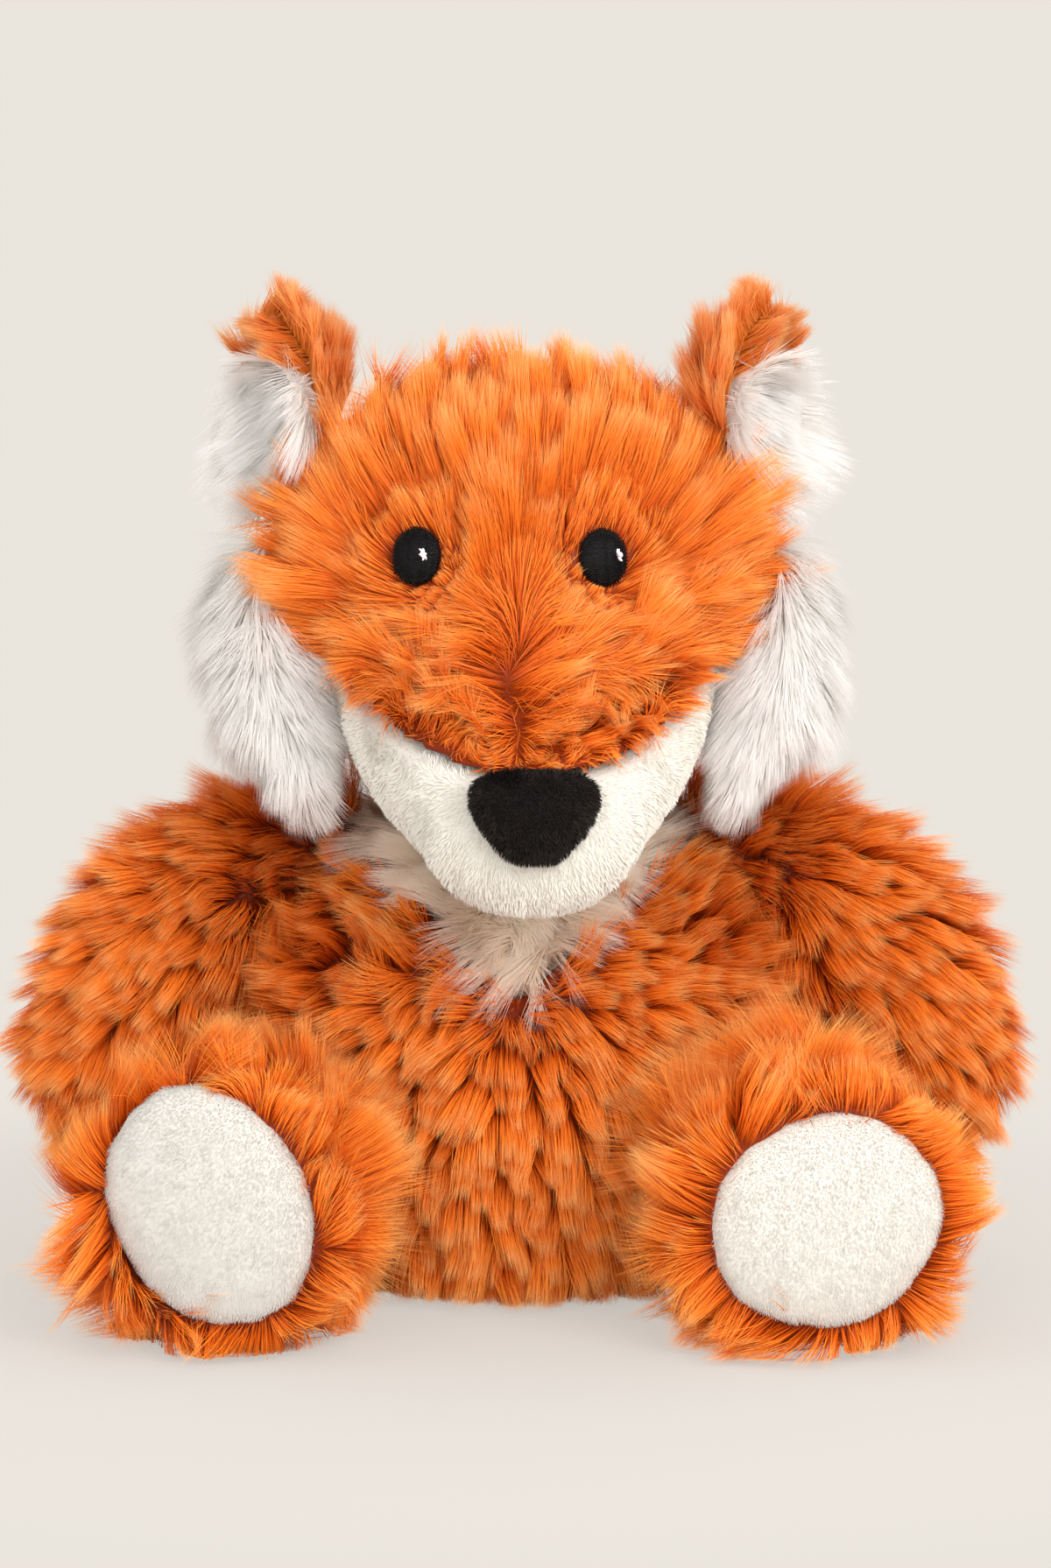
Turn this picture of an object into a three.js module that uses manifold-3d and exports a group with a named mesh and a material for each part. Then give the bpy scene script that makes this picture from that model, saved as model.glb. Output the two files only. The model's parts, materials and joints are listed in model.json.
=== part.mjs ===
// A seated plush fox, sewn from fur fabric over stuffing. The head, arms, legs, ears and tail
// flex at the seams that hold them. Millimetres, +Z up. The fox faces -Y, so its own left side
// is at +X. The origin is the middle of the flat that the seat rests on.
import * as THREE from "three";
import { mergeVertices } from "three/addons/utils/BufferGeometryUtils.js";
import Module from "manifold-3d";

const wasm = await Module();
wasm.setup();

// Sizes shared by every piece
const gap = 0.3; // between sewn pieces that stay together
const play = 0.5; // between pieces that move on each other
const pile = 8; // fur fabric with its laid pile
const seatCut = 0.5; // how far the resting places are pressed flat
const reach = 400; // a cutting block goes this far past what it cuts
const insideShare = 0.6; // of the faces outside
const ballSides = 16;
const ballRings = 8;

const torso = {
  halfWidth: 65,
  halfDepth: 53,
  halfHeight: 67,
  fullness: 0.76,
  taper: 0.17,
  floorShare: 0.96,
  sides: 18,
  rings: 12,
  top: 118,
  sideSeam: 8,
};
torso.centre = new THREE.Vector3(0, 0, torso.halfHeight * torso.floorShare - seatCut);

const bib = { halfWidth: 40, top: 112, tip: 74 };

const pouch = {
  halfWidth: 36,
  halfDepth: 29,
  halfHeight: 17,
  fullness: 0.75,
  taper: 0,
  floorShare: 1,
  sides: 16,
  rings: 8,
};
pouch.centre = new THREE.Vector3(0, 0, pile + gap + pouch.halfHeight);

// The neck turns about the vertical through its pivot, and the head nods about the pivot.
const neck = { y: -4, radius: 14, opening: 17, chinClear: 55, nodRoom: THREE.MathUtils.degToRad(16) };
neck.pivot = new THREE.Vector3(0, neck.y, torso.top);

const head = {
  yaw: THREE.MathUtils.degToRad(2),
  halfWidth: 61,
  halfDepth: 47,
  halfHeight: 50,
  fullness: 0.82,
  taper: -0.02,
  floorShare: 1,
  sides: 18,
  rings: 12,
  centre: new THREE.Vector3(0, -15, 170),
};

const muzzle = {
  root: new THREE.Vector3(0, -34, 148),
  middle: new THREE.Vector3(0, -60, 138),
  tip: new THREE.Vector3(0, -84, 121),
  rootRadius: 38,
  midRadius: 36,
  tipRadius: 23,
  breadth: 1.22, // how much wider than high
  sides: 14,
};

// The seam between mask and jaw rises backwards from the nose; the face ends at the cheek seam.
const mask = { noseY: -105, noseZ: 130, slope: THREE.MathUtils.degToRad(19), cheekSeam: -10 };

const ruff = {
  top: new THREE.Vector3(60, -17, 175),
  middle: new THREE.Vector3(70, -24, 152),
  tip: new THREE.Vector3(53, -41, 125),
  topRadius: 10,
  midRadius: 19,
  tipRadius: 8,
  sides: 10,
};

const nose = { halfWidth: 14.5, halfHeight: 11, depth: 8, taper: 0.28, z: 124.5, sides: 14, rings: 8 };
const eye = { aside: -3.8, x: 21.5, z: 179, halfWidth: 6, halfHeight: 7, depth: 4, sides: 12, rings: 6 };
const glint = { x: 2.6, z: 0.8, radius: 1.5, depth: 0.8, rise: 3.6, sides: 8, rings: 4 };

const ear = {
  base: new THREE.Vector3(45, -4, 204),
  lean: THREE.MathUtils.degToRad(14),
  facing: THREE.MathUtils.degToRad(66),
  cupRadius: 32,
  sheet: 3.2,
  halfWidth: 23,
  halfHeight: 27,
  rise: 9,
  flex: THREE.MathUtils.degToRad(15),
  sides: 14,
  rings: 8,
};

const arm = {
  pivot: new THREE.Vector3(51, 3, 100),
  elbow: new THREE.Vector3(86, 4, 92),
  hand: new THREE.Vector3(97, 1, 55),
  rootRadius: 20,
  midRadius: 25,
  tipRadius: 21.5,
  coreRadius: 14,
  throat: 8,
  sides: 12,
  forward: THREE.MathUtils.degToRad(60),
  back: THREE.MathUtils.degToRad(15),
};

const leg = {
  pivot: new THREE.Vector3(50, -33, 31),
  knee: new THREE.Vector3(60, -62, 32),
  ankle: new THREE.Vector3(68, -87, 0), // its height follows below
  rootRadius: 24,
  midRadius: 29,
  tipRadius: 33,
  coreRadius: 17,
  throat: 9,
  sole: 12, // from the ankle to the sole's plane
  toeOut: THREE.MathUtils.degToRad(6),
  sides: 16,
  forward: THREE.MathUtils.degToRad(30),
  back: THREE.MathUtils.degToRad(30),
};
leg.ankle.z = leg.tipRadius - seatCut;
leg.spine = [leg.pivot, leg.knee, leg.ankle];
arm.spine = [arm.pivot, arm.elbow, arm.hand];

const footPad = { thickness: 5, bulge: 6.5, rings: 4 };

const tail = {
  pivot: new THREE.Vector3(0, 54, 22),
  middle: new THREE.Vector3(-4, 80, 24.8),
  tip: new THREE.Vector3(-12, 114, 17),
  rootRadius: 16,
  midRadius: 33,
  tipRadius: 9,
  coreRadius: 12,
  throat: 4,
  tipShare: 0.72,
  sides: 12,
  lift: THREE.MathUtils.degToRad(35),
};

// Colours of the fabrics, threads and fillings
const fabrics = {
  orangeFur: new THREE.MeshStandardMaterial({ color: 0xe8762a, roughness: 0.95, metalness: 0 }),
  whiteFur: new THREE.MeshStandardMaterial({ color: 0xf3f0ea, roughness: 0.95, metalness: 0 }),
  bibFur: new THREE.MeshStandardMaterial({ color: 0xd9cfc2, roughness: 0.95, metalness: 0 }),
  velour: new THREE.MeshStandardMaterial({ color: 0xf4f2e8, roughness: 0.9, metalness: 0 }),
  blackPlush: new THREE.MeshStandardMaterial({ color: 0x16141a, roughness: 0.85, metalness: 0 }),
  blackThread: new THREE.MeshStandardMaterial({ color: 0x1c1b1f, roughness: 0.5, metalness: 0 }),
  whiteThread: new THREE.MeshStandardMaterial({ color: 0xf2e8f0, roughness: 0.5, metalness: 0 }),
  stuffing: new THREE.MeshStandardMaterial({ color: 0xf5f5f2, roughness: 1, metalness: 0 }),
  pouchCloth: new THREE.MeshStandardMaterial({ color: 0xcbbf9f, roughness: 0.9, metalness: 0 }),
};

// How many faces go round a form: the inside of a skin, which is offset inwards, needs fewer.
function facets(count, offset) {
  return offset < 0 ? 2 * Math.round(insideShare * count / 2) : count;
}

// The closed solid of a geometry, whose split corners are merged first.
function solidOf(geometry) {
  geometry.deleteAttribute("normal");
  geometry.deleteAttribute("uv");
  const merged = mergeVertices(geometry);
  return new wasm.Manifold(
    new wasm.Mesh({
      numProp: 3,
      vertProperties: merged.attributes.position.array,
      triVerts: new Uint32Array(merged.index.array),
    }),
  );
}

function joined(solids) {
  return solids.reduce((whole, solid) => whole.add(solid));
}

function cut(solid, tools) {
  return tools.reduce((rest, tool) => rest.subtract(tool), solid);
}

function pieceOf(name, solid, fabric) {
  const found = solid.getMesh();
  const geometry = new THREE.BufferGeometry();
  geometry.setAttribute("position", new THREE.BufferAttribute(found.vertProperties, found.numProp));
  geometry.setIndex(new THREE.BufferAttribute(found.triVerts, 1));
  geometry.computeVertexNormals();
  const mesh = new THREE.Mesh(geometry, fabric);
  mesh.name = name;
  return mesh;
}

// Everything on the far side of a plane, in the direction of its normal.
function beyondPlane(point, normal) {
  const geometry = new THREE.BoxGeometry(2 * reach, 2 * reach, reach);
  geometry.translate(0, 0, reach / 2);
  const turn = new THREE.Quaternion().setFromUnitVectors(new THREE.Vector3(0, 0, 1), normal);
  geometry.applyQuaternion(turn);
  return solidOf(geometry.translate(point.x, point.y, point.z));
}

function belowLevel(z) {
  return beyondPlane(new THREE.Vector3(0, 0, z), new THREE.Vector3(0, 0, -1));
}

function aboveLevel(z) {
  return beyondPlane(new THREE.Vector3(0, 0, z), new THREE.Vector3(0, 0, 1));
}

// A ball with its poles towards the sides, where the seams that it turns in have their axes.
function ball(centre, radius, sides = ballSides, rings = ballRings) {
  const geometry = new THREE.SphereGeometry(radius, sides, rings).rotateZ(Math.PI / 2);
  return solidOf(geometry.translate(centre.x, centre.y, centre.z));
}

// The hollow that a ball turns in: its flats, not its corners, lie just off the ball.
function socket(centre, radius) {
  return ball(centre, (radius + gap) / Math.cos(Math.PI / ballSides));
}

// A round rod from one point to another.
function rod(from, to, radius, sides = 12) {
  const along = to.clone().sub(from);
  const geometry = new THREE.CylinderGeometry(radius, radius, along.length(), sides);
  const turn = new THREE.Quaternion().setFromUnitVectors(
    new THREE.Vector3(0, 1, 0),
    along.clone().normalize(),
  );
  geometry.applyQuaternion(turn);
  const middle = from.clone().add(to).divideScalar(2);
  return solidOf(geometry.translate(middle.x, middle.y, middle.z));
}

// A stuffed bag: an ellipsoid, fuller towards its ends, narrower towards its top and sat flat.
function bagShape(size, offset, centre) {
  const around = facets(size.sides, offset);
  const geometry = new THREE.SphereGeometry(1, around, facets(size.rings, offset));
  geometry.rotateX(Math.PI / 2);
  const place = geometry.attributes.position;
  const point = new THREE.Vector3();
  for (let i = 0; i < place.count; i += 1) {
    point.fromBufferAttribute(place, i);
    const round = Math.hypot(point.x, point.y);
    const spread = round > 0 ? round ** (size.fullness - 1) * (1 - size.taper * point.z) : 1;
    place.setXYZ(
      i,
      point.x * spread * (size.halfWidth + offset),
      point.y * spread * (size.halfDepth + offset),
      Math.max(point.z, -size.floorShare) * (size.halfHeight + offset),
    );
  }
  return geometry.translate(centre.x, centre.y, centre.z);
}

// A stuffed tube: rings round a bent spine, swelling and tapering, with a round cap at each end.
function tubeShape(spine, radii, offset, sides, breadth = 1, rings = 5, capRings = 3) {
  const [root, middle, tip] = spine;
  const curve = new THREE.QuadraticBezierCurve3(root, middle, tip);
  const radiusAt = (t) =>
    (1 - t) ** 2 * radii[0] + 2 * t * (1 - t) * radii[1] + t ** 2 * radii[2] + offset;
  const stations = [];
  for (let i = 1; i < capRings; i += 1) {
    const lean = ((i - capRings) / capRings) * (Math.PI / 2);
    stations.push({ t: 0, slide: Math.sin(lean), shrink: Math.cos(lean) });
  }
  for (let i = 0; i <= rings; i += 1) stations.push({ t: i / rings, slide: 0, shrink: 1 });
  for (let i = 1; i < capRings; i += 1) {
    const lean = (i / capRings) * (Math.PI / 2);
    stations.push({ t: 1, slide: Math.sin(lean), shrink: Math.cos(lean) });
  }

  // A reference off the spine keeps the rings from twisting.
  const bend = new THREE.Vector3().subVectors(tip, root).normalize();
  const reference = Math.abs(bend.y) < 0.8 ? new THREE.Vector3(0, 1, 0) : new THREE.Vector3(0, 0, 1);
  const points = [];
  const endOf = (t, direction) => {
    const heading = curve.getTangent(t).normalize();
    return curve.getPoint(t).addScaledVector(heading, direction * radiusAt(t));
  };
  points.push(...endOf(0, -1).toArray());
  for (const { t, slide, shrink } of stations) {
    const heading = curve.getTangent(t).normalize();
    const across = new THREE.Vector3().crossVectors(reference, heading).normalize();
    const over = new THREE.Vector3().crossVectors(heading, across);
    const centre = curve.getPoint(t).addScaledVector(heading, slide * radiusAt(t));
    for (let i = 0; i < sides; i += 1) {
      const angle = (i / sides) * 2 * Math.PI;
      const point = centre
        .clone()
        .addScaledVector(across, Math.cos(angle) * shrink * breadth * radiusAt(t))
        .addScaledVector(over, Math.sin(angle) * shrink * radiusAt(t));
      points.push(...point.toArray());
    }
  }
  points.push(...endOf(1, 1).toArray());

  const faces = [];
  const corner = (ring, i) => 1 + ring * sides + (i % sides);
  const last = stations.length - 1;
  const endPoint = 1 + stations.length * sides;
  for (let i = 0; i < sides; i += 1) {
    faces.push(0, corner(0, i + 1), corner(0, i));
    faces.push(endPoint, corner(last, i), corner(last, i + 1));
    for (let ring = 0; ring < last; ring += 1) {
      faces.push(corner(ring, i), corner(ring, i + 1), corner(ring + 1, i + 1));
      faces.push(corner(ring, i), corner(ring + 1, i + 1), corner(ring + 1, i));
    }
  }
  const geometry = new THREE.BufferGeometry();
  geometry.setAttribute("position", new THREE.Float32BufferAttribute(points, 3));
  geometry.setIndex(faces);
  return geometry;
}

// A point of the fox's own left side, or its mirror image on the right.
function sided(point, side) {
  return new THREE.Vector3(point.x * side, point.y, point.z);
}

// How far the torso reaches sideways at a depth and a height.
function torsoReach(y, z) {
  const level = THREE.MathUtils.clamp((z - torso.centre.z) / torso.halfHeight, -1, 1);
  const spread = Math.sqrt(1 - level ** 2) ** torso.fullness * (1 - torso.taper * level);
  const across = 1 - (y / (spread * torso.halfDepth)) ** 2;
  return across > 0 ? torso.halfWidth * spread * Math.sqrt(across) : 0;
}

// A limb's centre and radius, seen along its seam's axis, at a share of its length.
function limbStation(size, share) {
  const centre = new THREE.QuadraticBezierCurve3(...size.spine).getPoint(share).sub(size.spine[0]);
  const radius =
    (1 - share) ** 2 * size.rootRadius +
    2 * share * (1 - share) * size.midRadius +
    share ** 2 * size.tipRadius;
  return { away: Math.hypot(centre.y, centre.z), heading: Math.atan2(centre.z, -centre.y), radius };
}

// The furthest the torso reaches towards a limb, anywhere the limb swings at that distance.
function torsoInWay(size, distance) {
  const steps = 16;
  let furthest = 0;
  for (let i = 1; i <= steps; i += 1) {
    const { away, heading, radius } = limbStation(size, i / steps);
    const cosine = (distance ** 2 + away ** 2 - radius ** 2) / (2 * distance * away);
    const halfAngle = Math.acos(THREE.MathUtils.clamp(cosine, -1, 1));
    const low = heading - size.back - halfAngle;
    const high = heading + size.forward + halfAngle;
    for (let j = 0; cosine < 1 && j <= steps; j += 1) {
      const angle = THREE.MathUtils.lerp(low, high, j / steps);
      const y = size.spine[0].y - distance * Math.cos(angle);
      const z = size.spine[0].z + distance * Math.sin(angle);
      furthest = Math.max(furthest, torsoReach(y, z));
    }
  }
  return furthest;
}

// What a swinging limb leaves to the torso: a solid of revolution about the seam's axis.
function swingRoom(size, side, margin) {
  const rings = 8;
  const crowding = 1.6; // more rings near the axis
  const nearestShare = 0.05;
  const far = size.spine[0].distanceTo(size.spine[2]) + 2 * size.tipRadius;
  const profile = [new THREE.Vector2(0, 0), new THREE.Vector2(far, 0)];
  for (let i = rings; i >= 0; i -= 1) {
    const share = (i / rings) ** crowding;
    const distance = Math.max(share, nearestShare) * far;
    profile.push(new THREE.Vector2(share * far, torsoInWay(size, distance) + play + margin));
  }
  const geometry = new THREE.LatheGeometry(profile, size.sides);
  geometry.rotateZ((-side.sign * Math.PI) / 2);
  return solidOf(geometry.translate(0, size.spine[0].y, size.spine[0].z));
}

// A limb's form: its stuffed tube clear of the torso, and the ball of its root in the seam.
function limbForm(size, side, offset) {
  const spine = size.spine.map((point) => sided(point, side.sign));
  const radii = [size.rootRadius, size.midRadius, size.tipRadius];
  return joined([
    solidOf(tubeShape(spine, radii, offset, facets(size.sides, offset))).subtract(
      swingRoom(size, side, -offset),
    ),
    ball(spine[0], size.rootRadius + offset, facets(ballSides, offset), facets(ballRings, offset)),
    rod(spine[0], spine[1], size.coreRadius + offset, facets(size.sides, offset)),
  ]);
}

// The hole in a limb's root where its stuffing meets the torso's.
function limbThroat(size, side) {
  const root = sided(size.spine[0], side.sign);
  const inwards = root.clone().setX(root.x - side.sign * (size.rootRadius + size.throat));
  return rod(root, inwards, size.throat);
}

// The hollow for the neck, which turns and nods, so its rings need the same room as its sides.
function neckHollow() {
  return socket(neck.pivot, neck.radius / Math.cos(Math.PI / (2 * ballRings)));
}

const torsoForm = (offset) => solidOf(bagShape(torso, offset, torso.centre));

const headForms = (offset) => [
  bagShape(head, offset, head.centre),
  tubeShape(
    [muzzle.root, muzzle.middle, muzzle.tip],
    [muzzle.rootRadius, muzzle.midRadius, muzzle.tipRadius],
    offset,
    facets(muzzle.sides, offset),
    muzzle.breadth,
  ),
];
const headForm = (offset) => joined(headForms(offset).map(solidOf));

const sides = [
  { name: "left", sign: 1 },
  { name: "right", sign: -1 },
];

// An arm: a fur sleeve with its stuffing.
function armPieces(side) {
  const sleeve = cut(limbForm(arm, side, 0), [limbForm(arm, side, -pile), limbThroat(arm, side)]);
  return [
    pieceOf(`${side.name}_arm_sleeve`, sleeve, fabrics.orangeFur),
    pieceOf(`${side.name}_arm_stuffing`, limbForm(arm, side, -pile - gap), fabrics.stuffing),
  ];
}

// A leg: a fur sleeve, open at the sole, its stuffing, and the pad that closes the sole.
function legPieces(side) {
  const facing = new THREE.Vector3(
    side.sign * Math.sin(leg.toeOut),
    -Math.cos(leg.toeOut),
    0,
  );
  const solePoint = sided(leg.ankle, side.sign).addScaledVector(facing, leg.sole);
  const behindSole = (depth) => solePoint.clone().addScaledVector(facing, -depth);
  const soleHole = rod(behindSole(leg.sole), behindSole(-reach), leg.tipRadius - pile, leg.sides);
  const sleeve = cut(limbForm(leg, side, 0), [
    limbForm(leg, side, -pile),
    limbThroat(leg, side),
    soleHole,
    beyondPlane(solePoint, facing),
    belowLevel(0),
  ]);
  const stuffing = limbForm(leg, side, -pile - gap).subtract(
    beyondPlane(behindSole(footPad.thickness + gap), facing),
  );

  const padRadius = leg.tipRadius - pile - gap;
  const profile = [new THREE.Vector2(0, -footPad.thickness)];
  profile.push(new THREE.Vector2(padRadius, -footPad.thickness));
  for (let i = 0; i < footPad.rings; i += 1) {
    const rise = (i / footPad.rings) * (Math.PI / 2);
    profile.push(new THREE.Vector2(padRadius * Math.cos(rise), footPad.bulge * Math.sin(rise)));
  }
  profile.push(new THREE.Vector2(0, footPad.bulge));
  const padShape = new THREE.LatheGeometry(profile, leg.sides);
  padShape.applyQuaternion(
    new THREE.Quaternion().setFromUnitVectors(new THREE.Vector3(0, 1, 0), facing),
  );
  const pad = solidOf(padShape.translate(solePoint.x, solePoint.y, solePoint.z));
  return [
    pieceOf(`${side.name}_leg_sleeve`, sleeve, fabrics.orangeFur),
    pieceOf(`${side.name}_leg_stuffing`, stuffing, fabrics.stuffing),
    pieceOf(`${side.name}_foot_pad`, pad, fabrics.velour),
  ];
}

// The tail: an orange sleeve and a white tip over one length of stuffing, lying on the floor.
function tailPieces() {
  const spine = [tail.pivot, tail.middle, tail.tip];
  const radii = [tail.rootRadius, tail.midRadius, tail.tipRadius];
  const forwards = new THREE.Vector3(0, -1, 0);
  const leaning = new THREE.Vector3(0, -Math.cos(tail.lift), Math.sin(tail.lift));
  const form = (offset) => {
    const clear = torso.halfDepth + play - tail.pivot.y - offset;
    const torsoSide = (normal) =>
      beyondPlane(tail.pivot.clone().addScaledVector(normal, -clear), normal);
    return solidOf(tubeShape(spine, radii, offset, facets(tail.sides, offset)))
      .subtract(torsoSide(forwards))
      .subtract(torsoSide(leaning))
      .add(ball(tail.pivot, tail.rootRadius + offset))
      .add(rod(tail.pivot, tail.middle, tail.coreRadius + offset));
  };
  const root = tail.pivot.clone().setY(tail.pivot.y - tail.rootRadius - tail.throat);
  const throat = rod(tail.pivot, root, tail.throat);
  const sleeve = cut(form(0), [form(-pile), throat, belowLevel(0)]);
  const curve = new THREE.QuadraticBezierCurve3(...spine);
  const seam = curve.getPoint(tail.tipShare);
  const along = curve.getTangent(tail.tipShare).normalize();
  const past = (step) => seam.clone().addScaledVector(along, step);
  return [
    pieceOf(
      "tail_sleeve",
      sleeve.subtract(beyondPlane(past(-gap / 2), along)),
      fabrics.orangeFur,
    ),
    pieceOf(
      "tail_tip",
      sleeve.subtract(beyondPlane(past(gap / 2), along.clone().negate())),
      fabrics.whiteFur,
    ),
    pieceOf(
      "tail_stuffing",
      form(-pile - gap).subtract(belowLevel(pile + gap)),
      fabrics.stuffing,
    ),
  ];
}

// The bib's outline, extruded through the chest.
function bibPrism(grow) {
  const outline = new THREE.Shape();
  const slope = bib.halfWidth / (bib.top - bib.tip);
  const rise = torso.top + pile - bib.top;
  outline.moveTo(0, bib.tip - grow / slope);
  outline.lineTo(bib.halfWidth + rise * slope + grow, bib.top + rise);
  outline.lineTo(-bib.halfWidth - rise * slope - grow, bib.top + rise);
  const geometry = new THREE.ExtrudeGeometry(outline, { depth: reach, bevelEnabled: false });
  return solidOf(geometry.rotateX(Math.PI / 2).translate(0, torso.sideSeam, 0));
}

// The torso: front and back fur panels, the bib, the stuffing and the weighted pouch in the seat.
function torsoPieces() {
  const rootHollows = sides.flatMap(({ sign }) => [
    socket(sided(arm.pivot, sign), arm.rootRadius),
    socket(sided(leg.pivot, sign), leg.rootRadius),
  ]);
  rootHollows.push(socket(tail.pivot, tail.rootRadius), neckHollow());
  const wall = (offset) =>
    cut(torsoForm(offset), [belowLevel(-offset), aboveLevel(torso.top + offset)]);
  const neckHole = rod(neck.pivot, neck.pivot.clone().setZ(torso.top - 2 * pile), neck.opening);
  const neckTop = rod(neck.pivot, neck.pivot.clone().setZ(torso.top + pile), neck.opening);
  const skin = cut(wall(0), [wall(-pile), neckHole, neckTop, ...rootHollows]);
  const inFront = (y) => beyondPlane(new THREE.Vector3(0, y, 0), new THREE.Vector3(0, -1, 0));
  const behind = (y) => beyondPlane(new THREE.Vector3(0, y, 0), new THREE.Vector3(0, 1, 0));
  const front = skin.subtract(behind(torso.sideSeam - gap / 2));

  const pouchSolid = (offset) => solidOf(bagShape(pouch, offset, pouch.centre));
  const pouchRoom = pouchSolid(gap).add(
    rod(pouch.centre, pouch.centre.clone().setZ(0), pouch.halfDepth, pouch.sides),
  );
  const stuffing = cut(wall(-pile - gap), [...rootHollows, pouchRoom]);
  return [
    pieceOf("torso_front_panel", front.subtract(bibPrism(gap)), fabrics.orangeFur),
    pieceOf(
      "torso_back_panel",
      skin.subtract(inFront(torso.sideSeam + gap / 2)),
      fabrics.orangeFur,
    ),
    pieceOf("chest_bib", front.intersect(bibPrism(0)), fabrics.bibFur),
    pieceOf("torso_stuffing", stuffing, fabrics.stuffing),
    pieceOf("seat_bean_pouch", pouchSolid(0), fabrics.pouchCloth),
  ];
}

// Room under the head for the torso, the chin's sweep and the nod, grown by a margin.
function neckRoom(grow) {
  const level = torso.top + play + grow;
  const chest = rod(
    neck.pivot.clone().setZ(0),
    neck.pivot.clone().setZ(level),
    neck.chinClear + grow,
    head.sides,
  );
  const tilt = new THREE.Vector3(0, Math.sin(neck.nodRoom), -Math.cos(neck.nodRoom));
  const hinge = neck.pivot.clone().setZ(level);
  const wedge = beyondPlane(hinge, tilt).subtract(
    beyondPlane(hinge, new THREE.Vector3(0, -1, 0)),
  );
  return [chest, wedge];
}

// The head's surface at a place of the face, and its normal across a feature of that half size.
function faceSpot(x, z, halfSize) {
  const surface = headForms(0).map(
    (geometry) => new THREE.Mesh(geometry, new THREE.MeshBasicMaterial({ side: THREE.DoubleSide })),
  );
  const backwards = new THREE.Vector3(0, 1, 0);
  const hit = (acrossX, upZ) => {
    const start = new THREE.Vector3(x + acrossX, -reach, z + upZ);
    return new THREE.Raycaster(start, backwards).intersectObjects(surface)[0].point;
  };
  const across = hit(halfSize, 0).sub(hit(-halfSize, 0));
  const up = hit(0, halfSize).sub(hit(0, -halfSize));
  return { point: hit(0, 0), normal: new THREE.Vector3().crossVectors(across, up).normalize() };
}

// A rounded button of thread or plush: an ellipsoid with its short axis along the normal.
function button({ halfWidth, halfHeight, depth, sides: around, rings, taper = 0 }, spot) {
  const geometry = new THREE.SphereGeometry(1, around, rings);
  const place = geometry.attributes.position;
  for (let i = 0; i < place.count; i += 1) {
    const narrow = 1 + taper * place.getY(i);
    place.setXYZ(
      i,
      place.getX(i) * narrow * halfWidth,
      place.getY(i) * halfHeight,
      place.getZ(i) * depth,
    );
  }
  const up = new THREE.Vector3(0, 0, 1);
  const right = new THREE.Vector3().crossVectors(up, spot.normal).normalize();
  const top = new THREE.Vector3().crossVectors(spot.normal, right);
  const frame = new THREE.Matrix4().makeBasis(right, top, spot.normal).setPosition(spot.point);
  return solidOf(geometry.applyMatrix4(frame));
}

// The ear's own frame: its origin at the base, Y up to the tip, Z out of the white face.
function earFrame(side) {
  const facing = new THREE.Vector3(
    side.sign * Math.sin(ear.facing),
    -Math.cos(ear.facing),
    0,
  );
  const rise = new THREE.Vector3(side.sign * Math.sin(ear.lean), 0, Math.cos(ear.lean));
  const across = new THREE.Vector3().crossVectors(rise, facing).normalize();
  const out = new THREE.Vector3().crossVectors(across, rise).normalize();
  return new THREE.Matrix4()
    .makeBasis(across, rise, out)
    .setPosition(sided(ear.base, side.sign));
}

// An ear: two cupped sheets sewn back to back, orange behind and white in front.
function earPieces(side) {
  const frame = earFrame(side);
  const placed = (geometry) => solidOf(geometry.applyMatrix4(frame));
  const cup = (radius) =>
    placed(
      new THREE.SphereGeometry(radius, ear.sides, ear.rings)
        .scale(1, ear.halfHeight / ear.halfWidth, 1)
        .translate(0, ear.rise, ear.cupRadius),
    );
  const outline = placed(
    new THREE.SphereGeometry(1, ear.sides, ear.rings)
      .scale(ear.halfWidth, ear.halfHeight, ear.cupRadius)
      .translate(0, ear.rise, ear.sheet),
  );
  const hinge = sided(ear.base, side.sign);
  const axis = new THREE.Vector3().setFromMatrixColumn(frame, 0);
  const headAt = (angle) => {
    const turn = new THREE.Matrix4()
      .makeTranslation(hinge.x, hinge.y, hinge.z)
      .multiply(new THREE.Matrix4().makeRotationAxis(axis, angle))
      .multiply(new THREE.Matrix4().makeTranslation(-hinge.x, -hinge.y, -hinge.z));
    return solidOf(bagShape(head, play, head.centre).applyMatrix4(turn));
  };
  const clear = [headAt(0), headAt(ear.flex), headAt(-ear.flex)];
  const sheet = (inner) =>
    cut(cup(ear.cupRadius - inner).subtract(cup(ear.cupRadius - inner - ear.sheet)), clear)
      .intersect(outline);
  return [
    pieceOf(`${side.name}_ear_back`, sheet(0), fabrics.orangeFur),
    pieceOf(`${side.name}_ear_front`, sheet(ear.sheet + gap), fabrics.whiteFur),
  ];
}

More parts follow.
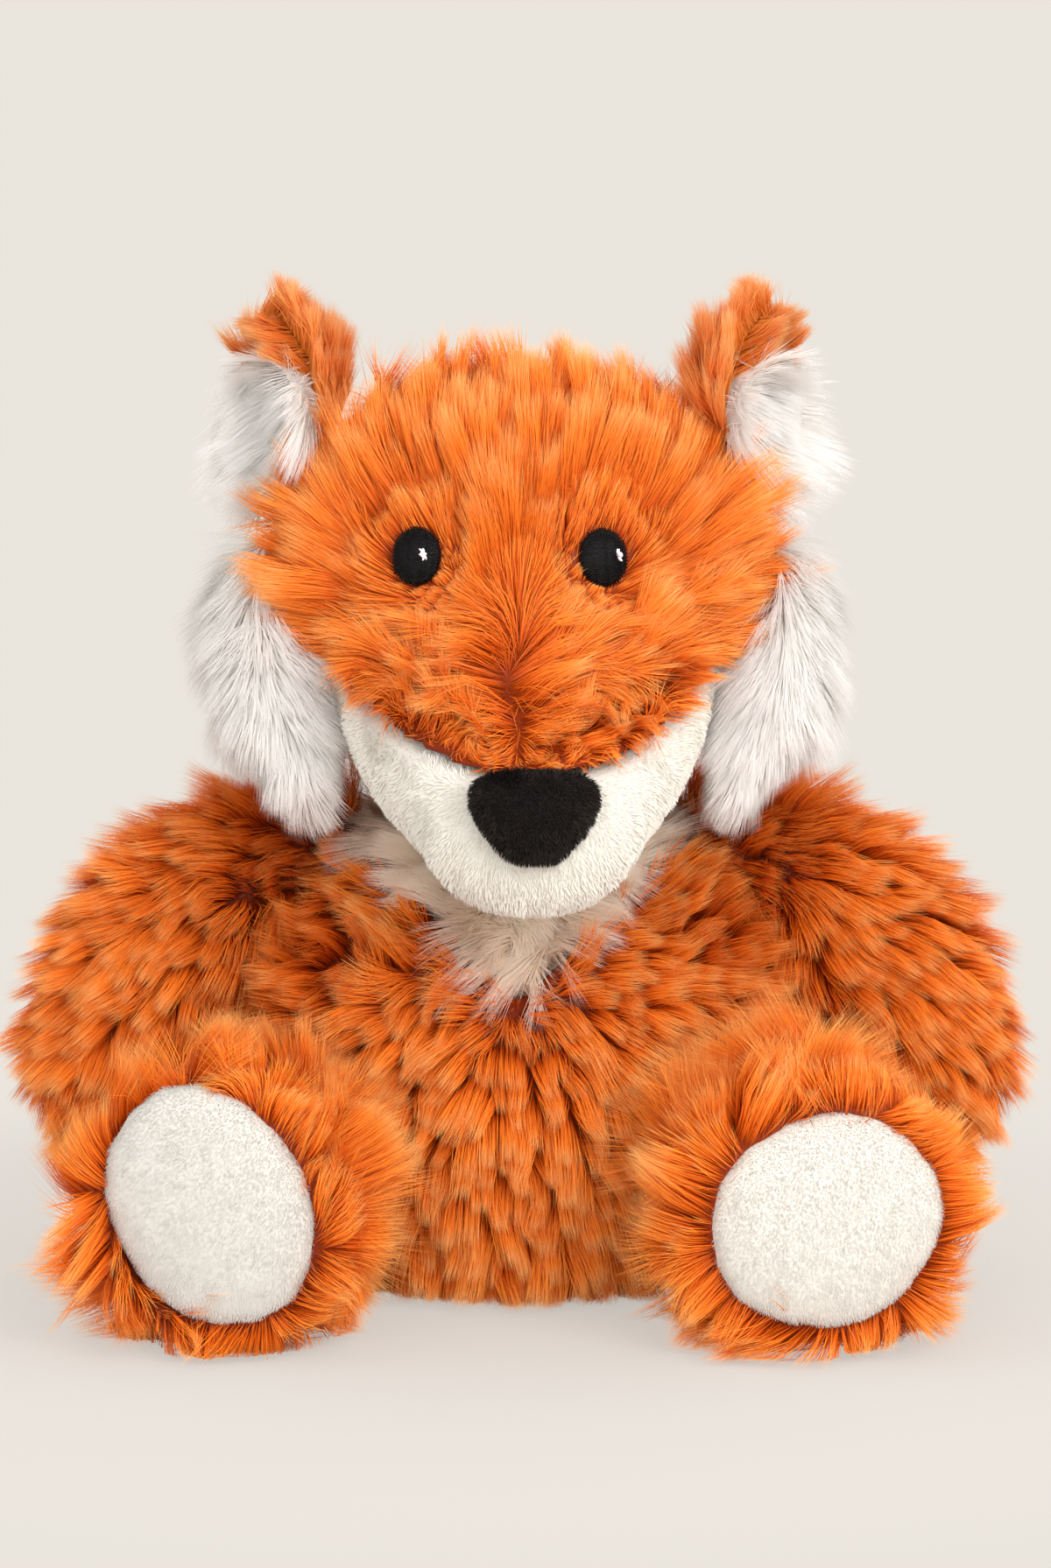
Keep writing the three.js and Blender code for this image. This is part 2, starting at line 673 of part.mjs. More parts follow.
// The head: mask, back and jaw panels over stuffing, cheek ruffs, nose, eyes and ears.
function headPieces() {
  const shell = (offset) => cut(headForm(offset), neckRoom(-offset));
  const throat = rod(neck.pivot, neck.pivot.clone().setZ(torso.top + 2 * pile), neck.opening);
  const skin = cut(shell(0), [shell(-pile), throat]);

  const seam = new THREE.Vector3(0, mask.noseY, mask.noseZ);
  const up = new THREE.Vector3(0, -Math.sin(mask.slope), Math.cos(mask.slope));
  const aboveSeam = (step) => beyondPlane(seam.clone().addScaledVector(up, step), up);
  const belowSeam = (step) =>
    beyondPlane(seam.clone().addScaledVector(up, -step), up.clone().negate());
  const backwards = new THREE.Vector3(0, 1, 0);
  const cheekLine = new THREE.Vector3(0, mask.cheekSeam, 0);
  const behind = beyondPlane(cheekLine.clone().setY(mask.cheekSeam - gap / 2), backwards);
  const inFront = beyondPlane(
    cheekLine.clone().setY(mask.cheekSeam + gap / 2),
    backwards.clone().negate(),
  );

  const grown = headForm(gap);
  const noseSolid = button(nose, faceSpot(0, nose.z, nose.halfHeight));
  const pieces = [
    pieceOf("face_panel", cut(skin, [behind, belowSeam(-gap / 2)]), fabrics.orangeFur),
    pieceOf("jaw_panel", cut(skin, [behind, aboveSeam(-gap / 2)]), fabrics.velour),
    pieceOf("head_back_panel", skin.subtract(inFront), fabrics.orangeFur),
    pieceOf(
      "head_stuffing",
      shell(-pile - gap).subtract(neckHollow()),
      fabrics.stuffing,
    ),
    pieceOf("nose", noseSolid.subtract(grown), fabrics.blackPlush),
  ];
  for (const side of sides) {
    const spine = [ruff.top, ruff.middle, ruff.tip].map((point) => sided(point, side.sign));
    const radii = [ruff.topRadius, ruff.midRadius, ruff.tipRadius];
    const flare = solidOf(tubeShape(spine, radii, 0, ruff.sides));
    pieces.push(
      pieceOf(
        `${side.name}_cheek_ruff`,
        cut(flare, [grown, ...neckRoom(0)]),
        fabrics.whiteFur,
      ),
    );

    const eyeSpot = faceSpot(eye.aside + eye.x * side.sign, eye.z, eye.halfWidth);
    const eyeSolid = button(eye, eyeSpot);
    const glintSpot = {
      point: eyeSpot.point
        .clone()
        .add(new THREE.Vector3(glint.x, 0, glint.z))
        .addScaledVector(eyeSpot.normal, glint.rise),
      normal: eyeSpot.normal,
    };
    const glintSolid = button(
      {
        halfWidth: glint.radius,
        halfHeight: glint.radius,
        depth: glint.rise + glint.depth,
        sides: glint.sides,
        rings: glint.rings,
      },
      glintSpot,
    );
    const eyeGrown = button(
      { ...eye, halfWidth: eye.halfWidth + gap, halfHeight: eye.halfHeight + gap, depth: eye.depth + gap },
      eyeSpot,
    );
    pieces.push(
      pieceOf(`${side.name}_eye`, eyeSolid.subtract(grown), fabrics.blackThread),
      pieceOf(`${side.name}_eye_glint`, cut(glintSolid, [grown, eyeGrown]), fabrics.whiteThread),
      ...earPieces(side),
    );
  }
  return pieces;
}

// The head is set on the neck slightly turned, as a hand leaves it.
function turnedHead() {
  const group = new THREE.Group();
  group.add(...headPieces());
  group.rotation.z = head.yaw;
  const pivot = neck.pivot.clone();
  const turned = pivot.clone().applyAxisAngle(new THREE.Vector3(0, 0, 1), head.yaw);
  group.position.copy(pivot.sub(turned));
  return group;
}

const fox = new THREE.Group();
fox.name = "plush_fox";
fox.add(...torsoPieces());
fox.add(pieceOf("neck_stuffing", ball(neck.pivot, neck.radius), fabrics.stuffing));
fox.add(turnedHead());
for (const side of sides) fox.add(...armPieces(side), ...legPieces(side));
fox.add(...tailPieces());

export default fox;
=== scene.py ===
import json
import math
from functools import partial, partialmethod
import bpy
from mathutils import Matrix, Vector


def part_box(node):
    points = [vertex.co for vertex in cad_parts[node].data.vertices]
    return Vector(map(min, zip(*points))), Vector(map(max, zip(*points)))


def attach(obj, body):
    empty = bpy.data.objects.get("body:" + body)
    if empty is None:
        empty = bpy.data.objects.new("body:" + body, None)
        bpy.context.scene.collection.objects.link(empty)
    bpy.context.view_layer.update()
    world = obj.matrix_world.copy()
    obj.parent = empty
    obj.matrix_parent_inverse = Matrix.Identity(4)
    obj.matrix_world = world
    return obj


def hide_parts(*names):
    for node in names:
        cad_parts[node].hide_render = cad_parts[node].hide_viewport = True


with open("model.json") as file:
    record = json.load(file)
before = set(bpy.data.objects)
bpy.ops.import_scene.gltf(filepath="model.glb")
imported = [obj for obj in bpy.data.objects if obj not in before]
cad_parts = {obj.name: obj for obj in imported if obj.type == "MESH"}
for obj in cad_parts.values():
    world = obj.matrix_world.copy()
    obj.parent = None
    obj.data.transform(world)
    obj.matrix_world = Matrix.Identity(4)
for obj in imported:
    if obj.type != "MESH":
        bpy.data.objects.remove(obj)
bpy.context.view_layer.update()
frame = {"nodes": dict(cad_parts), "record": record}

from types import SimpleNamespace

import bmesh
import bpy
import numpy as np
from mathutils import Matrix, Vector, noise
from mathutils.bvhtree import BVHTree

# A seated plush fox: long-pile fur grown over smooth skins, short velour, stitched eyes.
# Lengths are metres. Flow rules work in millimetres, because the pattern was measured so.
MM = 0.001
scene = bpy.context.scene
nodes = frame["nodes"]
noise.seed_set(4)  # without it, the wandering of the pile would differ from run to run

# The camera stands where the photograph was taken from.
AIM = Vector((0.0016, -0.040, 0.125))
CAMERA_DISTANCE = 1.1
CAMERA_PITCH = math.radians(6)
CAMERA_LENS = 107.3
SENSOR = 36

FLOOR_COLOUR = "#cdc8c3"
WALL_COLOUR = "#eae5dd"
FLOOR_HALF = 3.0
FLOOR_NEAR = 0.18  # the floor keeps its shadow up to here from the fox's middle
FLOOR_FAR = 0.3
FLOOR_GLOW = 0.62  # share of the floor that is plain pale paper to the camera

AMBIENT = 1.0
LAMPS = {  # place, size and power
    "key_lamp": ((0.62, -1.12, 0.68), 0.7, 13.0),
    "fill_lamp": ((-0.3, -1.2, 0.2), 1.2, 9.0),
}
LAMPS_FACE = Vector((0, 0, 0.11))

UV_MAP = "OFBake"
# the skin under the pile takes the root colour, so under orange pile it is painted shade
SKIN_BAND = 0.07  # the strip of the map that the skin under the pile takes
SKIN_WIDE, SKIN_HIGH = 3.0, 0.1  # the map's share of a metre of that skin
PILE_BAND = 0.96 - SKIN_BAND  # the strip that the pile takes, from root to tip
MAP_MARGIN = 0.02
STRAND_BAND = 0.012  # half the width of one strand on the map

TUFT_CROWD = 3.0  # tufts tried in each square of their spacing
EDDY_SCALE = 45.0  # of the noise that turns patches of pile
WAVE_SCALE = 130.0  # of the noise that bends the strands
TUFT_RISE = 0.16  # radians by which a tuft stands higher or lower
CURL_SPREAD = 0.25  # what curl adds to the spread of the tufts
OWN_LENGTH = 0.1  # share by which a strand is longer or shorter than its tuft
SHORTEST = 0.4  # share of its length that a blunted strand keeps
LATE_PULL = 1.4  # the pull of a tuft grows with this power of the way along a strand
NARROWING = 0.4  # share of its width that a strand loses before its tip
TONE_LUCK = 0.25  # how far a tuft's luck, or a strand's, changes the tone
FLOOR_PRESS = 0.002  # pile under the fox lies this deep on the floor
STRANDS_PER_UNIT = 1e4  # densities are written per square centimetre

FILLED_SHARE = 0.86  # of a patch's radius squared, that rows of stitches fill
STITCH_OVERLAP = 1.35  # stitches are longer than their step by this factor
EDGE_LUCK = 0.15  # radians by which a stitch at the edge is off its bearing

SIM_FRAMES = 20
PRESSURE = 4.0
STUFFED_BULGE = 0.002  # how far the filling may press a skin out
LOOKS_FROM, LOOKS_TO = 0.0008, 0.03  # how far outside a skin its room is measured
SOFT_ROOM = 3.3  # pile is full where it has this many times the room it needs


def linear(code):
    """The colour of a hex code, as the shaders want it."""
    channels = [int(code[i : i + 2], 16) / 255 for i in (1, 3, 5)]
    return (*((c / 12.92 if c <= 0.04045 else ((c + 0.055) / 1.055) ** 2.4) for c in channels), 1.0)


def eased(low, high, value):
    """0 at low and 1 at high, with soft ends. It falls where low is the higher one."""
    share = np.clip((value - low) / (high - low), 0, 1)
    return share * share * (3 - 2 * share)


def lengths(vectors):
    return np.linalg.norm(vectors, axis=1)


def units(vectors):
    """The vectors at length 1."""
    return vectors / np.maximum(lengths(vectors), 1e-9)[:, None]


def stacked(x, y, z):
    """Vectors from their three parts, each an array or one number for all."""
    return np.stack(np.broadcast_arrays(x, y, z), 1)


def placed(name, data):
    """A new object in the scene."""
    thing = bpy.data.objects.new(name, data)
    scene.collection.objects.link(thing)
    return thing


# ---- node trees ----


class Tree:
    """A node tree being built. Each call adds a node: add gives it back, the others its outputs."""

    def __init__(self, group):
        self.group = group

    def give(self, node, inputs):
        """Sets a node's inputs, each to a value or to another node's output."""
        for key, value in inputs.items():
            if isinstance(value, bpy.types.NodeSocket):
                self.group.links.new(value, node.inputs[key])
            else:
                node.inputs[key].default_value = value
        return node

    def add(self, kind, inputs=None, **settings):
        node = self.group.nodes.new(kind)
        for name, value in settings.items():
            setattr(node, name, value)
        return self.give(node, inputs or {})

    def out(self, kind, inputs=None, **settings):
        return self.add(kind, inputs, **settings).outputs[0]

    def number(self, operation, *values, clamp=False):
        inputs = dict(enumerate(values))
        return self.out("ShaderNodeMath", inputs, operation=operation, use_clamp=clamp)

    plus = partialmethod(number, "ADD")
    minus = partialmethod(number, "SUBTRACT")
    times = partialmethod(number, "MULTIPLY")
    over = partialmethod(number, "DIVIDE")
    times_plus = partialmethod(number, "MULTIPLY_ADD")

    def vector(self, operation, *values):
        node = self.add("ShaderNodeVectorMath", dict(enumerate(values)), operation=operation)
        return node.outputs["Value" if operation in ("DOT_PRODUCT", "LENGTH") else "Vector"]

    sum = partialmethod(vector, "ADD")
    away = partialmethod(vector, "SUBTRACT")
    unit = partialmethod(vector, "NORMALIZE")

    def scaled(self, vector, factor):
        inputs = {0: vector, "Scale": factor}
        return self.add("ShaderNodeVectorMath", inputs, operation="SCALE").outputs["Vector"]

    def xyz(self, **parts):
        return self.out("ShaderNodeCombineXYZ", parts)

    def parts(self, vector):
        return self.add("ShaderNodeSeparateXYZ", {0: vector}).outputs

    def end_in(self, share, shader, other, output="Material Output"):
        """Ends the tree in two shaders, mixed by the share of the other."""
        both = self.out("ShaderNodeMixShader", {0: share, 1: shader, 2: other})
        self.give(self.group.nodes[output], {"Surface": both})


class PieceTree(Tree):
    """A Geometry Nodes tree with named inputs."""

    def __init__(self, name, inputs):
        super().__init__(bpy.data.node_groups.new(name, "GeometryNodeTree"))
        face = self.group.interface
        for label, kind in inputs.items():
            face.new_socket(label, in_out="INPUT", socket_type=f"NodeSocket{kind}")
        face.new_socket("Piece", in_out="OUTPUT", socket_type="NodeSocketGeometry")
        self.given = self.add("NodeGroupInput").outputs

    def named(self, name, kind="FLOAT"):
        node = self.add("GeometryNodeInputNamedAttribute", {"Name": name}, data_type=kind)
        return node.outputs["Attribute"]

    def named_vector(self, name):
        return self.named(name, "FLOAT_VECTOR")

    def store(self, geometry, name, value, kind="FLOAT", domain="POINT"):
        inputs = {"Geometry": geometry, "Name": name, "Value": value}
        return self.out("GeometryNodeStoreNamedAttribute", inputs, data_type=kind, domain=domain)

    def dice(self, seed, each=None, kind="FLOAT"):
        """A number, or a vector, from -1 to 1, the same for every point with the same each."""
        if kind == "FLOAT_VECTOR":
            inputs, output = {0: (-1, -1, -1), 1: (1, 1, 1)}, 0
        else:
            inputs, output = {2: -1, 3: 1}, 1
        inputs["Seed"] = seed
        if each is not None:
            inputs["ID"] = each
        return self.add("FunctionNodeRandomValue", inputs, data_type=kind).outputs[output]

    def position(self):
        return self.out("GeometryNodeInputPosition")

    def drift(self, place, scale):
        """A vector that changes smoothly from place to place."""
        cloud = self.add("ShaderNodeTexNoise", {"Vector": place, "Scale": scale, "Detail": 1.0})
        return self.away(cloud.outputs["Color"], (0.5, 0.5, 0.5))

    def scattered(self, method, **inputs):
        """Points on a skin."""
        inputs = {name.replace("_", " "): value for name, value in inputs.items()}
        return self.add("GeometryNodeDistributePointsOnFaces", inputs, distribute_method=method).outputs

    def repeated(self, points, piece, **how):
        inputs = {"Points": points, "Instance": piece, **how}
        return self.out("GeometryNodeInstanceOnPoints", inputs)

    def made(self, kind, geometry, **how):
        return self.out(f"GeometryNode{kind}", {"Geometry": geometry, **how})

    realized = partialmethod(made, "RealizeInstances")
    shaped = partialmethod(made, "Transform")
    moved = partialmethod(made, "SetPosition")

    def together(self, *parts):
        node = self.add("GeometryNodeJoinGeometry")
        for part in parts:
            self.give(node, {0: part})
        return node.outputs[0]

    def finish(self, geometry, material):
        self.add("NodeGroupOutput", {"Piece": self.made("SetMaterial", geometry, Material=material)})


def strand_blade(t):
    """One strand before it is laid: a flat blade with a point, which carries its own along and across."""
    grid = t.add("GeometryNodeMeshGrid", {"Size X": 1.0, "Size Y": 1.0, "Vertices X": 2, "Vertices Y": 3})
    place = t.parts(t.position())
    along = t.plus(place["Y"], 0.5)
    at_tip = t.number("GREATER_THAN", along, 0.99)
    across = t.times(t.times(place["X"], 2.0), t.minus(1.0, at_tip))
    blade = t.store(grid.outputs["Mesh"], "along", along)
    blade = t.store(blade, "across", across)
    blade = t.moved(blade, Position=t.xyz(X=t.named("across"), Y=t.named("along")))
    return t.made("MergeByDistance", blade, Distance=0.01)


PILE_INPUTS = {
    "Skin": "Geometry",
    **dict.fromkeys((
        "Density", "Length", "Width", "Tuft", "Pull", "Tuft Spread", "Own Spread", "Uneven", "Blunt", "Roll",
        "Root Rise", "Tip Rise", "Droop", "Wave", "Swirl", "Tone",
    ), "Float"),
    "Seed": "Int",
    "Pile": "Material",
}


def pile_tree():
    """Grows pile on a skin. The skin carries flow, cover, long, rise, tone and curl at its points."""
    t = PieceTree("pile", PILE_INPUTS)
    g = t.given
    skin = g["Skin"]
    seeds = [t.plus(g["Seed"], float(i)) for i in range(6)]
    density = t.times(g["Density"], t.named("cover"))
    spots = t.scattered("RANDOM", Mesh=skin, Density=density, Seed=g["Seed"])
    spacing = g["Tuft"]
    crowd = t.over(TUFT_CROWD, t.times(spacing, spacing))
    tufts = t.scattered("POISSON", Mesh=skin, Distance_Min=spacing, Density_Max=crowd, Seed=seeds[1])
    tufts = tufts["Points"]

    root = t.position()
    normal = spots["Normal"]
    tuft = t.add("GeometryNodeSampleNearest", {"Geometry": tufts, "Sample Position": root}).outputs["Index"]
    centre = t.add(
        "GeometryNodeSampleIndex", {"Geometry": tufts, "Value": t.position(), "Index": tuft},
        data_type="FLOAT_VECTOR", domain="POINT",
    ).outputs["Value"]
    to_centre = t.away(centre, root)
    flow = t.named_vector("flow")
    lie = t.unit(t.away(flow, t.scaled(normal, t.vector("DOT_PRODUCT", normal, flow))))

    tuft_way = t.dice(seeds[2], tuft, "FLOAT_VECTOR")
    own_way = t.dice(seeds[3], None, "FLOAT_VECTOR")
    tuft_luck = t.dice(seeds[4], tuft)
    own_luck = t.dice(seeds[5])
    curled = t.plus(t.named("curl"), 1.0)
    tangle = t.times_plus(t.named("curl"), CURL_SPREAD, 1.0)
    astray = t.scaled(tuft_way, t.times(g["Tuft Spread"], tangle))
    astray = t.sum(astray, t.scaled(own_way, g["Own Spread"]))
    astray = t.sum(astray, t.scaled(t.drift(root, EDDY_SCALE), t.times(g["Swirl"], curled)))

    def heading(rise, stray, droop):
        angle = t.plus(t.plus(rise, t.named("rise")), t.times(tuft_luck, TUFT_RISE))
        straight = t.sum(t.scaled(lie, t.number("COSINE", angle)), t.scaled(normal, t.number("SINE", angle)))
        bent = t.sum(straight, t.scaled(astray, stray))
        return t.unit(t.sum(bent, t.xyz(Z=t.times(droop, -1.0))))

    start = heading(g["Root Rise"], 0.5, 0.0)
    end = heading(g["Tip Rise"], 1.0, g["Droop"])
    length = t.times(g["Length"], t.named("long"))
    vary = t.plus(t.times(tuft_luck, g["Uneven"]), t.times(own_luck, OWN_LENGTH))
    length = t.times(length, t.plus(vary, 1.0))
    evened = t.times_plus(t.vector("DOT_PRODUCT", to_centre, lie), g["Blunt"], length)
    length = t.number("MAXIMUM", evened, t.times(length, SHORTEST))
    middle = t.unit(t.sum(start, end))
    side = t.unit(t.vector("CROSS_PRODUCT", middle, normal))
    over = t.vector("CROSS_PRODUCT", middle, side)
    roll = t.times(t.parts(own_way)["Z"], g["Roll"])
    side = t.sum(t.scaled(side, t.number("COSINE", roll)), t.scaled(over, t.number("SINE", roll)))
    tone = t.plus(t.times(tuft_luck, TONE_LUCK), t.times(own_luck, TONE_LUCK))
    tone = t.plus(tone, t.plus(t.named("tone"), g["Tone"]))
    tone = t.times_plus(t.plus(tone, 0.5, clamp=True), 1 - 4 * MAP_MARGIN, 2 * MAP_MARGIN)

    grown = spots["Points"]
    for label, value in {
        "root": root,
        "leave": t.scaled(start, length),
        "bend": t.scaled(t.away(end, start), t.times(length, 0.5)),
        "pull": t.scaled(to_centre, g["Pull"]),
        "side": t.scaled(side, t.times(g["Width"], 0.5)),
    }.items():
        grown = t.store(grown, label, value, "FLOAT_VECTOR")
    grown = t.store(grown, "shade", tone)
    coat = t.realized(t.repeated(grown, strand_blade(t)))

    along, across = t.named("along"), t.named("across")
    place = t.sum(t.named_vector("root"), t.scaled(t.named_vector("leave"), along))
    place = t.sum(place, t.scaled(t.named_vector("bend"), t.times(along, along)))
    place = t.sum(place, t.scaled(t.named_vector("pull"), t.number("POWER", along, LATE_PULL)))
    reach = t.times(g["Wave"], curled)
    place = t.sum(place, t.scaled(t.drift(place, WAVE_SCALE), t.times(reach, along)))
    width = t.times(across, t.times_plus(along, -NARROWING, 1.0))
    place = t.sum(place, t.scaled(t.named_vector("side"), width))
    laid = t.parts(place)
    pressed = t.number("MAXIMUM", laid["Z"], t.times(t.named("shade"), FLOOR_PRESS))
    coat = t.moved(coat, Position=t.xyz(X=laid["X"], Y=laid["Y"], Z=pressed))
    spot = t.xyz(
        X=t.times_plus(across, STRAND_BAND, t.named("shade")),
        Y=t.times_plus(along, PILE_BAND, SKIN_BAND + MAP_MARGIN),
    )
    coat = t.store(coat, UV_MAP, spot, "FLOAT2", "CORNER")
    corner = t.parts(t.position())
    wide = t.times_plus(corner["X"], SKIN_WIDE, 0.5)
    high = t.times_plus(t.plus(corner["Z"], corner["Y"]), SKIN_HIGH, MAP_MARGIN)
    backing = t.store(skin, UV_MAP, t.xyz(X=wide, Y=high), "FLOAT2", "CORNER")
    t.finish(t.together(backing, coat), g["Pile"])
    return t.group


STITCH_INPUTS = {
    **dict.fromkeys((
        "Half Width", "Half Height", "Dome", "Stitch Length", "Row Step", "Thread Width", "Slant",
    ), "Float"),
    "Edge Stitches": "Int",
    "Edge Length": "Float",
    "Backing": "Float",
    "Seed": "Int",
    "Thread": "Material",
}


def stitch_tree():
    """An embroidered patch: slanting stitches in rows over a low dome, and more across its outline."""
    t = PieceTree("stitches", STITCH_INPUTS)
    g = t.given
    wide, high = t.times(g["Half Width"], 2.0), t.times(g["Half Height"], 2.0)
    net = t.add("GeometryNodeMeshGrid", {
        "Size X": wide, "Vertices X": t.plus(t.over(wide, g["Stitch Length"]), 1.0),
        "Size Y": high, "Vertices Y": t.plus(t.over(high, g["Row Step"]), 1.0),
    }).outputs["Mesh"]
    spot = t.parts(t.position())
    across, up = t.over(spot["X"], g["Half Width"]), t.over(spot["Y"], g["Half Height"])
    out = t.plus(t.times(across, across), t.times(up, up))
    outside = t.number("GREATER_THAN", out, FILLED_SHARE)
    net = t.made("DeleteGeometry", net, Selection=outside)
    column = t.number("ROUND", t.over(spot["X"], g["Stitch Length"]))
    turn = t.times_plus(t.number("MODULO", t.number("ABSOLUTE", column), 2.0), 2.0, -1.0)
    luck = t.dice(g["Seed"])
    turn = t.times(t.times_plus(luck, 0.5, turn), g["Slant"])
    grain = t.add("GeometryNodeMeshUVSphere", {"Segments": 6, "Rings": 5, "Radius": 0.5}).outputs["Mesh"]

    def stitch(length):
        upright = t.shaped(grain, Scale=t.xyz(X=g["Thread Width"], Y=g["Thread Width"], Z=length))
        return t.shaped(upright, Rotation=(0.0, math.pi / 2, 0.0))

    filled = t.repeated(net, stitch(t.times(g["Stitch Length"], STITCH_OVERLAP)), Rotation=t.xyz(Z=turn))
    ring = t.out("GeometryNodeMeshCircle", {"Vertices": g["Edge Stitches"], "Radius": 1.0})
    inset = t.times(g["Edge Length"], 0.5)
    inner = t.xyz(X=t.minus(g["Half Width"], inset), Y=t.minus(g["Half Height"], inset))
    ring = t.shaped(ring, Scale=inner)
    bearing = t.times_plus(luck, EDGE_LUCK, t.number("ARCTAN2", spot["Y"], spot["X"]))
    edge = t.repeated(ring, stitch(g["Edge Length"]), Rotation=t.xyz(Z=bearing))
    rise = t.number("SQRT", t.number("MAXIMUM", t.minus(1.0, out), 0.0))
    thread = t.moved(t.realized(t.together(filled, edge)), Offset=t.xyz(Z=t.times(rise, g["Dome"])))
    backing = t.add("GeometryNodeMeshUVSphere", {"Segments": 32, "Rings": 16, "Radius": 1.0}).outputs["Mesh"]
    half = [t.times(g[side], g["Backing"]) for side in ("Half Width", "Half Height")]
    backing = t.shaped(backing, Scale=t.xyz(X=half[0], Y=half[1], Z=g["Dome"]))
    t.finish(t.together(backing, thread), g["Thread"])
    return t.group


PILE = pile_tree()
STITCHES = stitch_tree()


# ---- materials ----


def ramp(tree, factor, stops, codes):
    """Colours between hex codes, each at its own stop of the factor."""
    node = tree.add("ShaderNodeValToRGB", {"Fac": factor})
    node.color_ramp.elements.remove(node.color_ramp.elements[1])
    for i, (place, code) in enumerate(zip(stops, codes.split())):
        stop = node.color_ramp.elements[0] if i == 0 else node.color_ramp.elements.new(place)
        stop.position = place
        stop.color = linear(code)
    return node.outputs["Color"]


def surface(name, **constants):
    """A new material, its tree and its shader."""
    material = bpy.data.materials.new(name)
    material.use_nodes = True
    tree = Tree(material.node_tree)
    shader = material.node_tree.nodes["Principled BSDF"]
    tree.give(shader, {label.replace("_", " "): value for label, value in constants.items()})
    return material, tree, shader


def pile_material(name, stops, deep, light, roughness=0.5, glow=0.0):
    """Pile that runs from its root's colour to its tip's; deep and light are its two dyes. Where the root
    colour is darker, it is painted shade deep in the pile, and paler tips are partly painted highlight.

    Glow is what it lets through."""
    material, tree, shader = surface(name, Roughness=roughness, Specular_IOR_Level=0.18)
    spot = tree.parts(tree.out("ShaderNodeUVMap", uv_map=UV_MAP))
    dyes = {0: spot["X"], 6: ramp(tree, spot["Y"], stops, deep), 7: ramp(tree, spot["Y"], stops, light)}
    mixed = tree.add("ShaderNodeMix", dyes, data_type="RGBA").outputs[2]
    tree.give(shader, {"Base Color": mixed})
    if glow:
        through = tree.out("ShaderNodeBsdfTranslucent", {"Color": mixed})
        tree.end_in(glow, shader.outputs[0], through)
    return material


# The orange pile's dark brown roots are painted shade deep in the pile, and its pale yellow tips are partly
# painted highlight.
ORANGE_PILE = pile_material(
    "orange_pile", (0.0, 0.3, 0.7, 1.0), "#5e1402 #bc3e04 #e86c12 #f59238",
    "#923006 #f07012 #ff9c38 #ffd288", glow=0.2,
)
# The ears' orange is a lighter copy of the orange pile, lighter still at the roots: painted light shining
# through the thin ears.
LIT_EAR_PILE = pile_material(
    "ear_pile", (0.0, 0.3, 0.7, 1.0), "#cc6a18 #e6842a #f29a4a #f8b46e",
    "#e28a30 #f8a24c #feba6c #ffdaa6", glow=0.48,
)
WHITE_PILE = pile_material(
    "white_pile", (0.0, 0.4, 1.0), "#f4f1ed #f7f5f2 #f9f8f6",
    "#f8f6f3 #fbfaf8 #fdfcfb", glow=0.55,
)
# The bib is white pile; its warm beige tint is painted orange light, bounced up from the chest under the
# chin.
BOUNCE_TINTED_BIB_PILE = pile_material(
    "bib_pile", (0.0, 0.4, 1.0), "#f2dec6 #fbecd8 #fdf3e4",
    "#fceedd #fef6ea #fffbf2", glow=0.6,
)
# The velour's deep dye, which the pads take, is a greyer, darker copy of the light dye that the jaw takes:
# partly the pads' own cooler white, partly painted shade that offsets the stronger light on the pads.
CREAM_VELOUR = pile_material(
    "cream_velour", (0.0, 0.5, 1.0), "#c2beb8 #c4c0ba #c6c2bd",
    "#e0dbcf #e3ded3 #e6e1d7", roughness=0.9,
)
# The paler brown tips of the black plush are painted highlight on the nose.
BLACK_PLUSH = pile_material(
    "black_plush", (0.0, 0.5, 1.0), "#040303 #0c0908 #1c1613",
    "#080605 #1e1815 #43372e", roughness=0.7,
)


def mottled_material(name, codes, mottle, ridges, relief, **constants):
    """Thread, filling or plain cloth: two colours in patches, and a relief of ridges or of the patches."""
    material, tree, shader = surface(name, **constants)
    spot = {"Vector": tree.add("ShaderNodeTexCoord").outputs["Object"]}
    patches = tree.add("ShaderNodeTexNoise", spot | mottle).outputs["Fac"]
    height = tree.add("ShaderNodeTexWave", spot | ridges).outputs["Fac"] if ridges else patches
    tree.give(shader, {
        "Base Color": ramp(tree, patches, (0.3, 0.7), codes),
        "Normal": tree.out("ShaderNodeBump", {"Height": height, **relief}),
    })
    return material


def thread_material(name, codes, roughness, specular):
    """Polished thread, with fine twist lines."""
    mottle, twist = {"Scale": 900.0, "Detail": 2.0}, {"Scale": 1500.0, "Distortion": 1.0}
    relief = {"Strength": 0.3, "Distance": 0.00008}
    return mottled_material(
        name, codes, mottle, twist, relief, Roughness=roughness, Specular_IOR_Level=specular)


def filling_material(name, codes, scale, depth):
    """A soft filling or a plain cloth, uneven at the given scale."""
    mottle, relief = {"Scale": scale, "Detail": 4.0, "Distortion": 1.5}, {"Strength": 0.5, "Distance": depth}
    return mottled_material(name, codes, mottle, None, relief, Roughness=0.9, Sheen_Weight=0.3)


BLACK_THREAD = thread_material("black_thread", "#030304 #110f10", 0.32, 0.15)
WHITE_THREAD = thread_material("white_thread", "#e6d6e4 #fffafd", 0.4, 0.4)
FIBRE_FILL = filling_material("fibre_fill", "#e6e5e0 #fbfbf9", 260.0, 0.001)
POUCH_COTTON = filling_material("pouch_cotton", "#bcae8c #d6c9aa", 1600.0, 0.0002)


# ---- skins ----


def merged(mesh):
    """A copy of a node's mesh with its loose triangles joined at their corners."""
    shape = bmesh.new()
    shape.from_mesh(mesh)
    bmesh.ops.remove_doubles(shape, verts=shape.verts, dist=1e-6)
    copy = bpy.data.meshes.new("skin")
    shape.to_mesh(copy)
    shape.free()
    return copy


